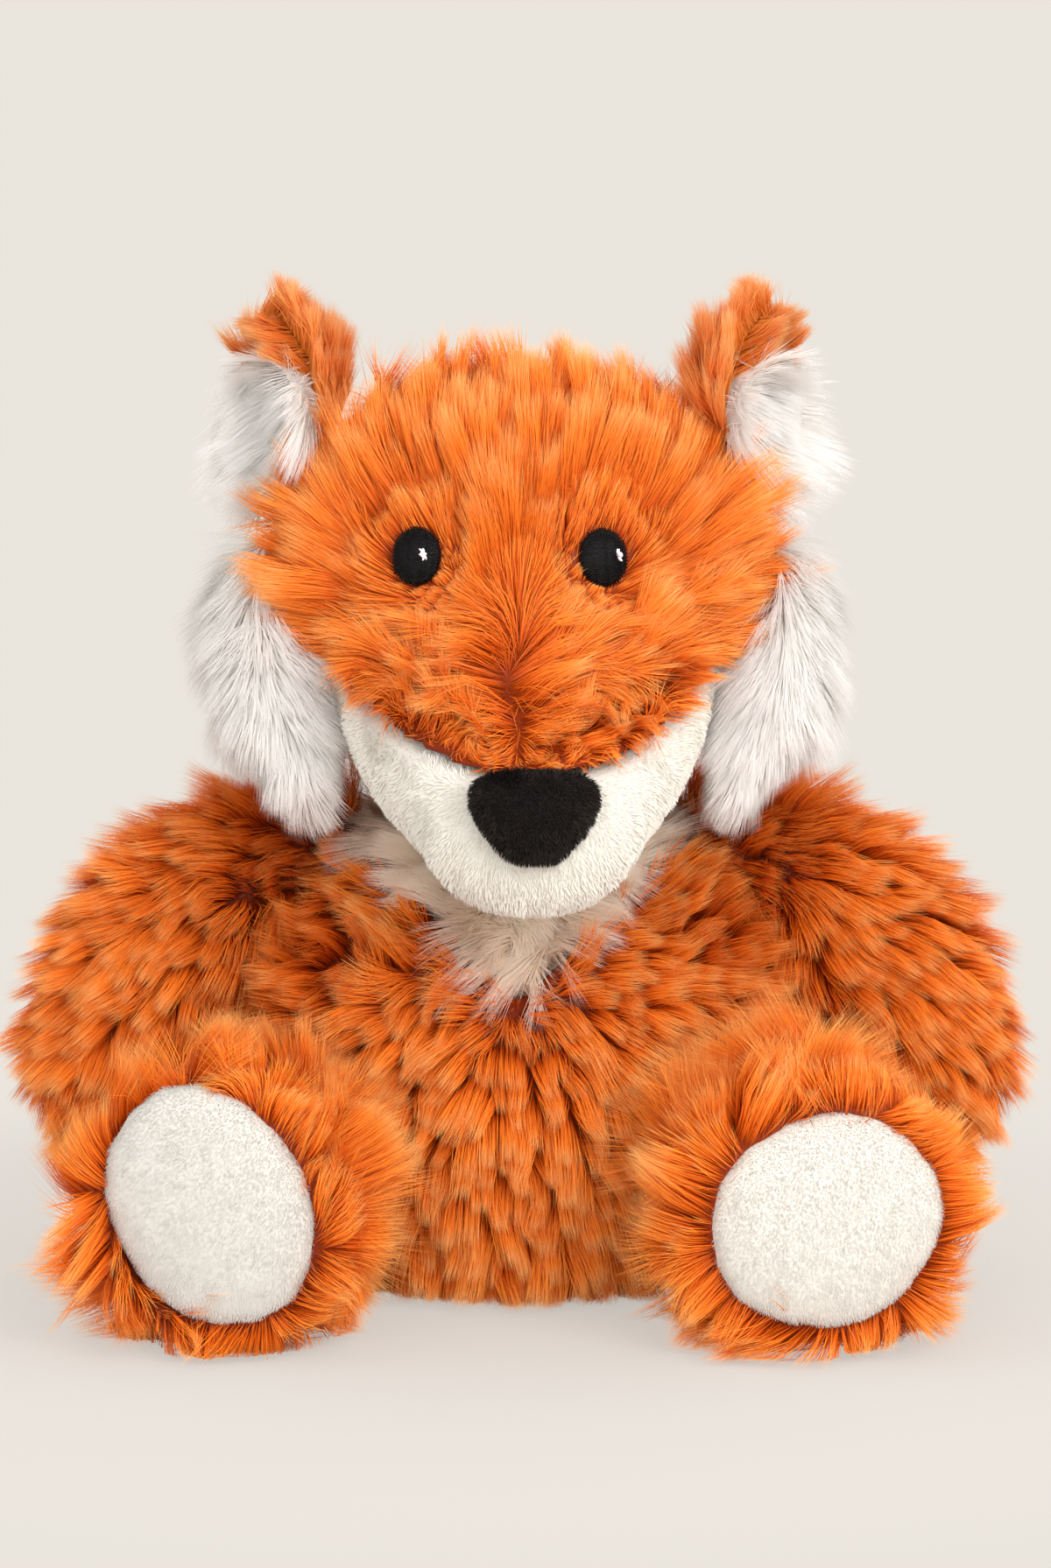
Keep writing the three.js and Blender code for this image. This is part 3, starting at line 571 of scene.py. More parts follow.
def result_of(thing):
    """The mesh that an object's modifiers make."""
    return bpy.data.meshes.new_from_object(thing.evaluated_get(bpy.context.evaluated_depsgraph_get()))


def smooth_copy(node, voxel, rounds):
    """A node's solid as one even mesh, smoothed the given number of times."""
    carrier = placed("carrier", merged(nodes[node].data))
    remesh = carrier.modifiers.new("remesh", "REMESH")
    remesh.mode = "VOXEL"
    remesh.voxel_size = voxel
    smooth = carrier.modifiers.new("smooth", "SMOOTH")
    smooth.factor = 0.5
    smooth.iterations = rounds
    done = result_of(carrier)
    bpy.data.objects.remove(carrier)
    return done


def points_of(mesh):
    """The places and normals of a mesh's points."""
    found = []
    for points, field in ((mesh.vertices, "co"), (mesh.vertex_normals, "vector")):
        values = np.empty(len(points) * 3, np.float32)
        points.foreach_get(field, values)
        found.append(values.reshape(-1, 3).astype(float))
    return found


def move_points(mesh, places):
    mesh.vertices.foreach_set("co", places.astype(np.float32).ravel())
    mesh.update()


def from_legs(places, spine):
    """For each leg of a spine of points, in millimetres: the leg, and the way from it to each place."""
    spine = [np.array(p) * MM for p in spine]
    for a, b in zip(spine, spine[1:]):
        share = np.clip((places - a) @ (b - a) / ((b - a) @ (b - a)), 0, 1)
        yield b - a, places - (a + share[:, None] * (b - a))


def from_spine(places, spine):
    """From the nearest place on the spine to each of the places."""
    best = np.full((len(places), 3), 1e3)
    for _, away in from_legs(places, spine):
        nearer = lengths(away) < lengths(best)
        best[nearer] = away[nearer]
    return best


def along_spine(places, spine):
    """The direction of the spine beside each of the places, turning smoothly from leg to leg."""
    total = np.zeros((len(places), 3))
    for leg, away in from_legs(places, spine):
        gap = lengths(away)
        total += leg / np.linalg.norm(leg) / (gap[:, None] ** 3 + 1e-9)
    return units(total)


def neighbours_of(node):
    """Every other solid of the fox that pile would run into, but not one that it may reach over."""
    corners, faces = [], []
    reached = (node, node.replace("ear_back", "ear_front"), node.replace("leg_sleeve", "foot_pad"))
    for name, obj in nodes.items():
        if name in reached or any(word in name for word in ("stuffing", "pouch", "glint")):
            continue
        start = len(corners)
        corners += [v.co for v in obj.data.vertices]
        faces += [[start + i for i in p.vertices] for p in obj.data.polygons]
    return BVHTree.FromPolygons(corners, faces)


def set_points(mesh, name, values, kind="FLOAT"):
    attribute = mesh.attributes.new(name, kind, "POINT")
    field = "vector" if kind == "FLOAT_VECTOR" else "value"
    attribute.data.foreach_set(field, np.asarray(values, np.float32).ravel())


def inflated(mesh, free, cap):
    """Where a skin's points go when its filling presses on it, by a cloth simulation.

    The seams hold it where free is below 1."""
    start = points_of(mesh)[0]
    cover = placed("cover", mesh)
    seams = cover.vertex_groups.new(name="seams")
    for i in np.flatnonzero(free < 1):
        seams.add([int(i)], 1 - float(free[i]), "REPLACE")
    cloth = cover.modifiers.new("cloth", "CLOTH")
    cloth.settings.use_pressure = True
    cloth.settings.uniform_pressure_force = PRESSURE
    cloth.settings.effector_weights.gravity = 0
    cloth.settings.vertex_group_mass = "seams"
    cloth.point_cache.frame_start = 1
    cloth.point_cache.frame_end = SIM_FRAMES
    for frame_number in range(1, SIM_FRAMES + 1):
        scene.frame_set(frame_number)
    moved = points_of(result_of(cover))[0] - start
    bpy.data.objects.remove(cover)
    scene.frame_set(1)
    return start + moved * np.minimum(1, cap / np.maximum(lengths(moved), 1e-9))[:, None]


def skin_of(node, spine, voxel, sink, rounds, shape, form):
    """The backing cloth of a piece: its solid made smooth and sunk to where the pile is sewn in.

    The pile's side is the one that faces away from the spine, or both without a spine."""
    mesh = smooth_copy(node, voxel, rounds)
    if form is not None:
        move_points(mesh, form(points_of(mesh)[0]))
    places, normals = points_of(mesh)
    if spine is None:
        outer = np.ones(len(places))
    else:
        outer = eased(0.05, 0.45, np.einsum("ij,ij->i", normals, units(from_spine(places, spine))))
    depth = sink * outer
    free = eased(0.2, 0.8, outer)
    if shape is not None:
        depth = shape(places, depth)
        free = free * np.clip(depth / np.maximum(sink * outer, 1e-9), 0, 1)
    room = np.full(len(places), 1.0)
    others = neighbours_of(node)
    for i in np.flatnonzero(outer > 0.2):
        hit = others.ray_cast(Vector(places[i] + normals[i] * LOOKS_FROM), Vector(normals[i]), LOOKS_TO)
        if hit[0] is not None:
            room[i] = hit[3]
    move_points(mesh, inflated(mesh, free, STUFFED_BULGE) - normals * depth[:, None])
    return mesh, places, normals, outer, room


LOOSE_PILE = dict(
    width=0.00023, tuft=0.0055, pull=0.28, tuft_spread=0.3, own_spread=0.1, uneven=0.2, blunt=0.8, roll=0.8,
    root_rise=60, tip_rise=22, droop=0.1, wave=0.0015, swirl=0.7, tone=0.0, pile=ORANGE_PILE,
)


def furred(name, node, spine, flow, *, length, density, marks=None, shape=None, form=None, fill=0.7,
           voxel=0.0025, sink=0.005, rounds=8, least=0.2, clearance=0.0012, **look):
    """A piece of fur fabric in place of a node: its skin, with pile that follows the flow rule.

    Pile needs more room than the clearance in front of it, and keeps the least share of its length.
    The look is what differs from loose pile, with rises in degrees."""
    mesh, places, normals, outer, room = skin_of(node, spine, voxel, sink, rounds, shape, form)
    p = places / MM
    ones, zeros = np.ones(len(places)), np.zeros(len(places))
    marked = SimpleNamespace(cover=ones, long=ones.copy(), rise=zeros, tone=zeros.copy(), curl=zeros.copy())
    if marks is not None:
        marks(p, normals, marked)
    marked.cover = marked.cover * eased(0.3, 0.6, outer) * eased(clearance, clearance * SOFT_ROOM, room)
    marked.long = marked.long * np.clip(room / length * 1.1, least, 1)
    set_points(mesh, "flow", flow(p), "FLOAT_VECTOR")
    for label, values in vars(marked).items():
        set_points(mesh, label, values)
    look = {**LOOSE_PILE, "length": length, "density": density * STRANDS_PER_UNIT, **look}
    for rise in ("root_rise", "tip_rise"):
        look[rise] = math.radians(look[rise])
    finish_piece(name, grown_by(PILE, mesh, look), node)


WORKING = "flow cover long rise tone curl root leave bend pull side shade along across".split()
BODY_OF = {node: body for body, held in frame["record"]["behaviour"]["bodies"].items() for node in held}


def grown_by(tree, mesh, values):
    """The plain mesh that a node tree makes of a mesh. A value half_width is for the input Half Width."""
    carrier = placed("carrier", mesh)
    modifier = carrier.modifiers.new("tree", "NODES")
    modifier.node_group = tree
    for item in tree.interface.items_tree:
        word = item.name.lower().replace(" ", "_")
        if item.in_out == "INPUT" and word in values:
            modifier[item.identifier] = values[word]
    grown = result_of(carrier)
    bpy.data.objects.remove(carrier)
    for name in WORKING:
        if name in grown.attributes:
            grown.attributes.remove(grown.attributes[name])
    return grown


def finish_piece(name, mesh, node):
    """Makes the piece with smooth shading, hangs it on the body that it rides on, and hides the node that it
    takes the place of.
    """
    mesh.polygons.foreach_set("use_smooth", [True] * len(mesh.polygons))
    piece = placed(name, mesh)
    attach(piece, BODY_OF[node])
    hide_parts(node)


# ---- how the pile lies on each piece ----
# A flow rule takes places p in millimetres, and gives each a direction. A marks rule takes them with
# their normals n, and changes the marks m of the pile there: cover, long, rise, tone and curl.


def wander(p, size):
    """A direction that changes smoothly from place to place, in patches of a size in millimetres."""
    return np.array([noise.noise_vector(Vector(place) / size) for place in p])


TORSO_SPINE = [(0, 0, 50), (0, 0, 80)]
HEAD_SPINE = [(0, -8, 172), (0, -40, 160), (0, -82, 124)]
NOSE_SPINE = [(3, -98, 124), (3, -99, 124)]
BIB_TOP, BIB_TIP = (0.0, -40.0, 116.0), (0.0, -50.0, 76.0)
MASK_EDGE_Y, MASK_EDGE_Z = -105.0, 130.0  # the face panel's lower edge at the nose climbs from here
MASK_EDGE_SLOPE = math.tan(math.radians(19))
SEAM_LOW, SEAM_HIGH = 136.0, 168.0  # the pile on the face parts along its seam between these heights
BRIDGE = 151.0  # the height of the bridge, between the eyes and the nose
NOSE_TOP = (0, -105, 126)
EYE_RIM = 6.4  # no pile grows this close to an eye's middle
EYES = [np.array(sum(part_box(f"{side}_eye"), Vector()) / 2 / MM) for side in ("left", "right")]


def fanned(p, tip):
    """Away from a place on the chest, but little in depth."""
    away = p - tip
    away[:, 1] *= 0.3
    return units(away)


def chest_flow(p):
    """Away from the bib's tip, tangled high on the chest, and down and forward low on the belly."""
    x, _, z = p.T
    low = eased(78, 45, z)[:, None]
    tangled = eased(62, 85, z) * (0.4 + 1.6 * eased(15, -20, x))
    steady = fanned(p, BIB_TIP) * (1 - low) + stacked(0.25 * x / 60, 0, -1) * low + (0, 0, -0.25)
    steady[:, 1] -= 0.6 * eased(24, 8, z)
    return steady + wander(p, 14) * (0.2 + 0.9 * tangled)[:, None]


def back_flow(p):
    """Down, and a little apart."""
    return stacked(0.2 * p[:, 0] / 60, 0, -1)


def bib_flow(p):
    """Down and apart from the throat, and tangled."""
    return fanned(p, BIB_TOP) + (0, -0.1, -0.35) + wander(p, 10) * 1.3


def off_bridge(p):
    """Low between the eyes and the nose, where the pile lies calm beside the seam, and 1 elsewhere."""
    return 1 - 0.8 * eased(18, 7, np.hypot(p[:, 0], p[:, 2] - BRIDGE))


def face_flow(p):
    """Away from the seam: outward beside it, up over the forehead and down beside the nose."""
    x, _, z = p.T
    seam = 1.5 * np.sin(z / 9)
    above = z - np.clip(z, SEAM_LOW, SEAM_HIGH)
    brow = eased(158, 180, z) * eased(60, 35, np.abs(x))
    aside = (x - seam) * (1 - 0.6 * brow)
    aside = np.sign(aside) * np.maximum(np.abs(aside), 2.0 * (1 - brow))
    low = eased(172, 140, z)
    tangled = eased(176, 160, z) * eased(52, 30, np.abs(x)) * eased(126, 136, z) * off_bridge(p)
    steady = units(stacked(aside, 0.25 * np.abs(aside), above)) + stacked(0, 0.1, 0.25 - 0.75 * low)
    return steady * (1 - 0.45 * tangled[:, None]) + wander(p + 6.0, 13) * (0.15 + 2.0 * tangled)[:, None]


def head_back_flow(p):
    """Away from the crown, back and down."""
    return units(p - (0.0, -40.0, 190.0)) + (0, 0.2, -0.5)


def limb_flow(p, spine, outward, down=0.2):
    """Along a limb, and somewhat outward and down."""
    return along_spine(p * MM, spine) + np.array(outward) * 0.4 + (0, 0, -down) + wander(p, 18) * 0.5


def mirrored(spine, side):
    """The spine on the left, where side is 1, or on the right, where it is -1."""
    return [(side * x, y, z) for x, y, z in spine]


ARM_SPINE = [(51, 3, 100), (86, 4, 92), (97, 1, 55)]
LEG_SPINE = [(50, -33, 31), (60, -62, 32), (64, -74, 32.5)]
TAIL_SPINE = [(0, 54, 22), (-4, 80, 24.8), (-12, 114, 17)]
EAR_SPINE = [(45, -4, 204), (52, -4, 235)]
PAD_SPINE = [(68, -80, 32.5), (68, -81, 32.5)]
PAD_CENTRE = (69.0, 32.5)
PAD_RADIUS = 24.8
PAD_SHAPES = {1: (1.08, 0.98, 0.35, 0.0), -1: (0.91, 1.14, 0.5, 3.0)}  # width, height, tilt and rise


def beyond_pad(p, side):
    """How far each place, in millimetres, lies outside the rim of the pad, seen from the front."""
    wide, high, tilt, rise = PAD_SHAPES[side]
    x, z = p[:, 0] - side * PAD_CENTRE[0], p[:, 2] - PAD_CENTRE[1] - rise
    c, s = math.cos(tilt), math.sin(tilt)
    return np.hypot((x * c + z * s) / wide, (z * c - x * s) / high) - PAD_RADIUS


def by_pad(p, side, far, near, back, front):
    """1 within near of the pad's rim and ahead of front; 0 farther than far from it or behind back."""
    return eased(far, near, beyond_pad(p, side)) * eased(back, front, p[:, 1])


def foot_flow(p, side):
    """Outward from the leg and backward, and calmer beside the pad."""
    spine = mirrored(LEG_SPINE, side)
    outward = units(from_spine(p * MM, spine)) * 0.55
    free = 0.55 + 0.45 * eased(2, 12, beyond_pad(p, side))
    return outward + (-0.1 * side, 0.4, 0.15) + wander(p, 17) * 1.25 * free[:, None]


def foot_form(places, side):
    """The sleeve's edge is drawn in under the rim of the pad."""
    p = places / MM
    near = by_pad(p, side, 7, 3, -82, -90)
    inward = units((side * PAD_CENTRE[0], 0, PAD_CENTRE[1]) - p * (1, 0, 1))
    return places + (inward * 3.0 + (0, -0.9, 0)) * near[:, None] * MM


def foot_shape(places, depth, side):
    """The skin comes forward to the seam round the pad."""
    return depth * (1 - by_pad(places / MM, side, 9, 3, -80, -90))


def foot_marks(p, n, m, side):
    """Shorter pile round the pad, paler there as painted light that lifts the shade at the pad's rim, and
    none under it.
    """
    near = by_pad(p, side, 10, 2, -80, -88)
    m.cover *= np.maximum(eased(-1.0, 0.3, beyond_pad(p, side)), eased(-86, -80, p[:, 1]))
    m.long *= 1 - 0.25 * near
    # painted light: paler pile lifts the shade in the groove round the pad
    m.tone += 0.35 * near


def pad_form(places, side):
    """A pad is no true circle: its width, height, tilt and rise follow the photograph. Its seam puckers."""
    wide, high, tilt, rise = PAD_SHAPES[side]
    centre = (places.max(axis=0) + places.min(axis=0)) / 2
    x, y, z = (places - centre).T
    c, s = math.cos(tilt), math.sin(tilt)
    pucker = 1 + 0.012 * np.sin(5 * np.arctan2(z, x) + side)
    along, across = (x * c + z * s) * wide * pucker, (z * c - x * s) * high * pucker
    return stacked(along * c - across * s, y, along * s + across * c + rise * MM) + centre


def nose_form(places):
    """A rounded trapezoid, wide and flat on top."""
    low, high = places.min(axis=0), places.max(axis=0)
    x, _, z = ((places - (low + high) / 2) / ((high - low) / 2)).T
    reach = np.sqrt(np.maximum(1 - np.clip(z, -1, 1) ** 2, 0.02))
    fuller = np.clip(reach ** -0.45, 1, 1.6)
    taper = 0.88 + 0.12 * eased(-0.9, 0.4, z)
    formed = places.copy()
    formed[:, 0] = (low + high)[0] / 2 + x * fuller * taper * (high - low)[0] / 2
    return formed


EAR_FACING = math.radians(66)
EAR_ROOT = 0.204
EAR_WHITE_TOP = 218.0
EAR_FALL = {1: 0.2, -1: 0.6}  # how much the white of each ear hangs


def ear_back_flow(p, side):
    """Up, and a little apart toward the front and back of the ear."""
    return stacked(-0.08 * side, 0.015 * (p[:, 1] + 5) - 0.1, 1) + wander(p, 9) * 0.3


def upright_ear(places, side):
    """The stuffed ear stands more upright than its flat pattern."""
    formed = places.copy()
    formed[:, 0] -= side * 0.14 * np.maximum(places[:, 2] - EAR_ROOT, 0)
    return formed


def ear_back_marks(p, n, m, side):
    """No pile where the white front is sewn on, and none too long at the tip."""
    out = np.array((side * math.sin(EAR_FACING), -math.cos(EAR_FACING), 0))
    joined = eased(0.0, 0.4, n @ out) * eased(EAR_WHITE_TOP + 4, EAR_WHITE_TOP, p[:, 2])
    m.cover *= 1 - joined
    m.long *= 1 - 0.3 * eased(218, 232, p[:, 2])


def ear_front_form(places, side):
    """The white front leans with the orange back, and is lower."""
    formed = upright_ear(places, side)
    z, top = places[:, 2], EAR_WHITE_TOP * MM
    formed[:, 2] = np.where(z > top, top + (z - top) * 0.45, z)
    return formed


def ear_front_flow(p, side):
    """Out from the middle of the ear, and down."""
    return units(p - (side * 50.0, -20.0, 216.0)) + (side * 0.6, 0, -EAR_FALL[side])


def ear_front_marks(p, n, m):
    """The white stops short of the ear's orange top."""
    m.long *= 0.6 + 0.4 * eased(220, 208, p[:, 2])
    m.rise += 0.25 * eased(205, 216, p[:, 2])


def ruff_flow(p, side):
    """Down, away from the cheek on the outside and in under the jaw on the inside."""
    x, _, z = p.T
    middle = np.interp(z, [125, 152, 175], [53, 70, 60])
    off = np.clip((side * x - middle) / 12, -1, 1)
    aside = 0.15 + 0.45 * off - 0.5 * eased(150, 122, z)
    return stacked(side * aside, -0.1 - 0.2 * off, -1)


def ruff_form(places, side):
    """The ruff lies closer to the cheek and the jaw than its pressed solid, and ends in a point."""
    formed = places.copy()
    out = side * places[:, 0] / MM
    closer = 60 + (out - 60) * np.where(out > 60, 0.75, 1.4)
    pointed = 0.5 * eased(0.142, 0.118, places[:, 2])
    formed[:, 0] = side * (closer + (50 - closer) * pointed) * MM
    return formed


def ruff_marks(p, n, m):
    """Short pile at the lower end, so that the ruff tapers."""
    m.long *= 1 - 0.4 * eased(145, 120, p[:, 2])


def over_mask_edge(p):
    """How far each place, in millimetres, lies above the face panel's lower edge."""
    return p[:, 2] - MASK_EDGE_Z - (p[:, 1] - MASK_EDGE_Y) * MASK_EDGE_SLOPE


def face_marks(p, n, m):
    """Short by the eyes, the lower edge and the nose, curled under the eyes and tall on the crown."""
    x, y, z = p.T
    way = units(face_flow(p))
    tangled = eased(24, 10, np.abs(z - 149)) * eased(46, 26, np.abs(x)) * off_bridge(p)
    for centre in EYES:
        toward = (centre - p) * (1, 0.6, 1)
        gap = lengths(toward)
        ahead = np.einsum("ij,ij->i", units(toward), way)
        passes_by = gap * np.sqrt(np.maximum(1 - ahead**2, 0))
        in_the_way = eased(15, 10, passes_by) * eased(-0.2, 0.1, ahead) * eased(38, 30, gap)
        clear = np.clip((gap - 7.0) / 18, 0.25, 1)
        m.cover *= eased(EYE_RIM, 8.0, gap) * (1 + 0.6 * eased(22, 14, gap))
        m.long *= (1 - in_the_way * (1 - clear)) * (0.45 + 0.55 * eased(7.5, 16, gap))
        m.curl -= 0.9 * eased(18, 12, gap)
        tangled = tangled * eased(15, 28, gap)
    m.curl += 7.0 * tangled
    m.rise += 0.5 * tangled
    m.tone += 0.12 * tangled
    m.long *= 1 - 0.3 * tangled
    m.long *= 1 + 0.3 * eased(214, 226, z) * eased(26, 12, np.abs(x))
    m.long *= 0.5 + 0.5 * eased(14, 34, lengths(p - NOSE_TOP))
    edge = eased(16, 3, over_mask_edge(p)) * eased(-25, -50, y)
    m.long *= 1 - 0.5 * edge
    m.rise -= 0.15 * edge


def sunk_but_at_eyes(places, depth):
    """The skin comes forward to the stitched eyes and to the seam with the jaw."""
    p = places / MM
    for centre in EYES:
        depth = depth * (0.2 + 0.8 * eased(8, 16, lengths(p - centre)))
    return depth * (0.45 + 0.55 * eased(2, 14, over_mask_edge(p)))


def arm_seam_shade_marks(p, n, m):
    """Pile beside the seam of an arm is darker, as painted shade in the gap between the arm and the body,
    and stands up to close the gap.
    """
    x, y, z = p.T
    gap = lengths(stacked(np.abs(x) - 52, 0.6 * (y + 15), 0.5 * (z - 88)))
    beside = eased(26, 10, gap)
    # painted shade beside the seam
    m.tone -= 0.35 * beside
    m.rise += 0.5 * beside


def arm_marks(p, n, m):
    """As beside the seam, and shorter on the outer side of the arm."""
    arm_seam_shade_marks(p, n, m)
    m.long *= 1 - 0.17 * eased(100, 115, np.abs(p[:, 0]))


def chest_marks(p, n, m):
    """Tangled high on the chest, most of all on the fox's right, and longer low on the belly."""
    x, _, z = p.T
    high = eased(55, 85, z)
    low = eased(24, 8, z)
    m.long *= 1 + 0.5 * low
    m.rise += 0.3 * low
    m.curl += high * (0.6 + 2.0 * eased(10, -25, x))
    m.rise += 0.25 * high
    arm_seam_shade_marks(p, n, m)


def tail_tip_marks(p, n, m):
    """No pile on the side that is sewn to the sleeve."""
    m.cover *= eased(-0.5, -0.2, np.einsum("ij,ij->i", n, along_spine(p * MM, TAIL_SPINE)))


# ---- the pieces ----

SHORT_PILE = dict(pull=0.1, droop=0, blunt=0)
VELOUR = dict(SHORT_PILE, root_rise=60, own_spread=0.05, wave=0.0003, pile=CREAM_VELOUR)
TUFTED = dict(tuft=0.0038, pull=0.5, width=0.00021, sink=0.0025)
BACK_PILE = dict(length=0.019, width=0.00028)
SMOOTH_WHITE = dict(width=0.00022, roll=0.15, pull=0.1, tuft_spread=0.12, pile=WHITE_PILE)
EAR_CLOTH = dict(length=0.015, density=750, voxel=0.0011, sink=0.0008, rounds=4, root_rise=48)


def grow_trunk():
    furred("torso_front_fur", "torso_front_panel", TORSO_SPINE, chest_flow, length=0.0145, density=398,
           seed=11, tone=0.16, marks=chest_marks, least=0.7, root_rise=68, tip_rise=34, **TUFTED)
    furred("torso_back_fur", "torso_back_panel", TORSO_SPINE, back_flow, density=190, seed=12, tone=-0.08,
           marks=arm_seam_shade_marks, least=0.6, **BACK_PILE)
    # The bib's tone of 0.6 lifts it toward its lighter dye: painted light against the shade under the chin.
    furred("chest_bib_fur", "chest_bib", TORSO_SPINE, bib_flow, length=0.018, density=560, seed=13,
           pile=BOUNCE_TINTED_BIB_PILE, tuft_spread=0.6, swirl=3.0, roll=0.3, tip_rise=28, tone=0.6, wave=0.003,
           blunt=0.5, pull=0.4, clearance=0.0003, least=0.35)


def grow_head():
    furred("face_fur", "face_panel", HEAD_SPINE, face_flow, length=0.019, density=452, width=0.00022,
           seed=21, marks=face_marks, shape=sunk_but_at_eyes, tone=-0.08, tuft=0.003, pull=0.36,
           root_rise=40, tip_rise=10, tuft_spread=0.2, own_spread=0.11, swirl=0.8, uneven=0.35, blunt=0.1)
    furred("head_back_fur", "head_back_panel", HEAD_SPINE, head_back_flow, density=230, seed=22, **BACK_PILE)
    furred("jaw_velour", "jaw_panel", HEAD_SPINE, face_flow, length=0.0015, density=300, width=0.00022,
           seed=23, tuft=0.002, tip_rise=20, tone=0.9, roll=0.3, sink=0.001, **VELOUR)
    furred("nose_plush", "nose", NOSE_SPINE, face_flow, length=0.0013, density=900, width=0.00022,
           seed=24, tuft=0.0015, root_rise=75, tip_rise=45, wave=0.0002, pile=BLACK_PLUSH, voxel=0.0009,
           sink=0.0005, rounds=10, form=nose_form, **SHORT_PILE)


def grow_side(side, sign):
    """The arm, leg, foot pad, cheek ruff and ear of one side; sign is 1 on the fox's left."""
    def on(rule):
        return partial(rule, side=sign)

    seed = 30 if sign > 0 else 60
    arm, leg, ear, pad = (mirrored(spine, sign) for spine in (ARM_SPINE, LEG_SPINE, EAR_SPINE, PAD_SPINE))
    arm_flow = partial(limb_flow, spine=arm, outward=(sign, 0, 0))
    furred(f"{side}_arm_fur", f"{side}_arm_sleeve", arm, arm_flow, length=0.016, density=490, seed=seed + 1,
           swirl=0.8, root_rise=66, tip_rise=30, marks=arm_marks, least=0.6, **TUFTED)
    furred(f"{side}_leg_fur", f"{side}_leg_sleeve", leg, on(foot_flow), length=0.020, density=410,
           width=0.0002, seed=seed + 2, tone=0.12, tuft=0.011, pull=0.38, root_rise=65, tip_rise=25,
           droop=0, tuft_spread=0.5, uneven=0.3, swirl=1.4, marks=on(foot_marks),
           shape=on(foot_shape), form=on(foot_form))
    # The pads' tone of -0.9 gives them the velour's darker dye, partly painted shade against the stronger
    # light on them.
    furred(f"{side}_pad_velour", f"{side}_foot_pad", pad, back_flow, length=0.0008, density=480,
           width=0.0002, seed=seed + 3, tuft=0.0018, tip_rise=30, tone=-0.9, roll=0.1, swirl=0.3,
           tuft_spread=0.15, voxel=0.0012, sink=-0.0004, rounds=10, form=on(pad_form), **VELOUR)
    furred(f"{side}_ruff_fur", f"{side}_cheek_ruff", None, on(ruff_flow), length=0.015, density=600,
           seed=seed + 4, marks=ruff_marks, least=0.65, voxel=0.002, sink=0.002, form=on(ruff_form),
           root_rise=46, tip_rise=18, own_spread=0.16, swirl=0.5, blunt=0.2, tuft=0.006, **SMOOTH_WHITE)
    furred(f"{side}_ear_back_fur", f"{side}_ear_back", None, on(ear_back_flow), seed=seed + 5,
           marks=on(ear_back_marks), tuft_spread=0.28, pull=0.25, blunt=0.3, form=on(upright_ear),
           pile=LIT_EAR_PILE, tip_rise=18, **EAR_CLOTH)
    # The ear front's tone of 0.3 lifts its white toward the lighter dye: painted light against the shade on
    # the ear fronts.
    furred(f"{side}_ear_front_fur", f"{side}_ear_front", ear, on(ear_front_flow), seed=seed + 6,
           form=on(ear_front_form), marks=ear_front_marks, swirl=0.6, tip_rise=20, tone=0.3,
           **EAR_CLOTH, **SMOOTH_WHITE)


def grow_tail():
    flow = partial(limb_flow, spine=TAIL_SPINE, outward=(0, 1, 0), down=0.1)
    furred("tail_fur", "tail_sleeve", TAIL_SPINE, flow, length=0.020, density=280, seed=91)
    furred("tail_tip_fur", "tail_tip", TAIL_SPINE, flow, length=0.018, density=420, seed=92,
           pile=WHITE_PILE, roll=0.3, marks=tail_tip_marks)


EYE_STITCHES = dict(
    half_width=0.0061, half_height=0.0071, dome=0.0022, stitch_length=0.0015, row_step=0.00056,
    thread_width=0.00046, slant=math.radians(26), edge_stitches=52, edge_length=0.0018, backing=0.93,
    thread=BLACK_THREAD,
)
GLINT_STITCHES = dict(
    half_width=0.0016, half_height=0.0017, dome=0.0005, stitch_length=0.0032, row_step=0.0034,
    thread_width=0.0006, slant=0.3, edge_stitches=6, edge_length=0.0016, backing=0.4, thread=WHITE_THREAD,
)
EYE_SINK = 0.001


def patch_frame(node):
    """Where a stitched patch sits: X to the viewer's right, Y up over the face, Z out of it."""
    corners = np.array([v.co for v in nodes[node].data.vertices], float)
    centre = corners.mean(axis=0)
    out = Vector(np.linalg.svd(corners - centre)[2][2])
    out = (out if out.y < 0 else -out).normalized()
    right = Vector((0, 0, 1)).cross(out).normalized()
    up = out.cross(right)
    frame_here = Matrix((right, up, out)).transposed().to_4x4()
    frame_here.translation = Vector(centre)
    return frame_here


def embroider(name, node, values, sink=0.0):
    """A stitched patch in place of a node, sunk along its own normal."""
    patch = grown_by(STITCHES, bpy.data.meshes.new("patch"), values)
    place = patch_frame(node)
    place.translation -= place.col[2].to_3d() * sink
    patch.transform(place)
    finish_piece(name, patch, node)


def stitch_eyes():
    for i, side in enumerate(("left", "right")):
        embroider(f"{side}_stitched_eye", f"{side}_eye", dict(EYE_STITCHES, seed=5 + i), EYE_SINK)
        embroider(f"{side}_stitched_glint", f"{side}_eye_glint", dict(GLINT_STITCHES, seed=7 + i))


def stuff(name, node, material, voxel=0.004, lump=0.0006):
    """A lumpy filling in place of a node, a little smaller than the room it fills."""
    mesh = smooth_copy(node, voxel, rounds=3)
    places, normals = points_of(mesh)
    lumps = np.array([noise.noise(Vector(p) * 120) for p in places])
    move_points(mesh, places - normals * (lump * (1 + lumps))[:, None])
    mesh.materials.append(material)
    finish_piece(name, mesh, node)


def fill_skins():
    for node in nodes:
        if node.endswith("_stuffing"):
            stuff(node.replace("_stuffing", "_filling"), node, FIBRE_FILL)
    stuff("seat_pouch", "seat_bean_pouch", POUCH_COTTON, voxel=0.003, lump=0.001)


grow_trunk()
grow_head()
for side, sign in (("left", 1), ("right", -1)):
    grow_side(side, sign)
grow_tail()
stitch_eyes()
fill_skins()


# ---- light, floor and camera ----


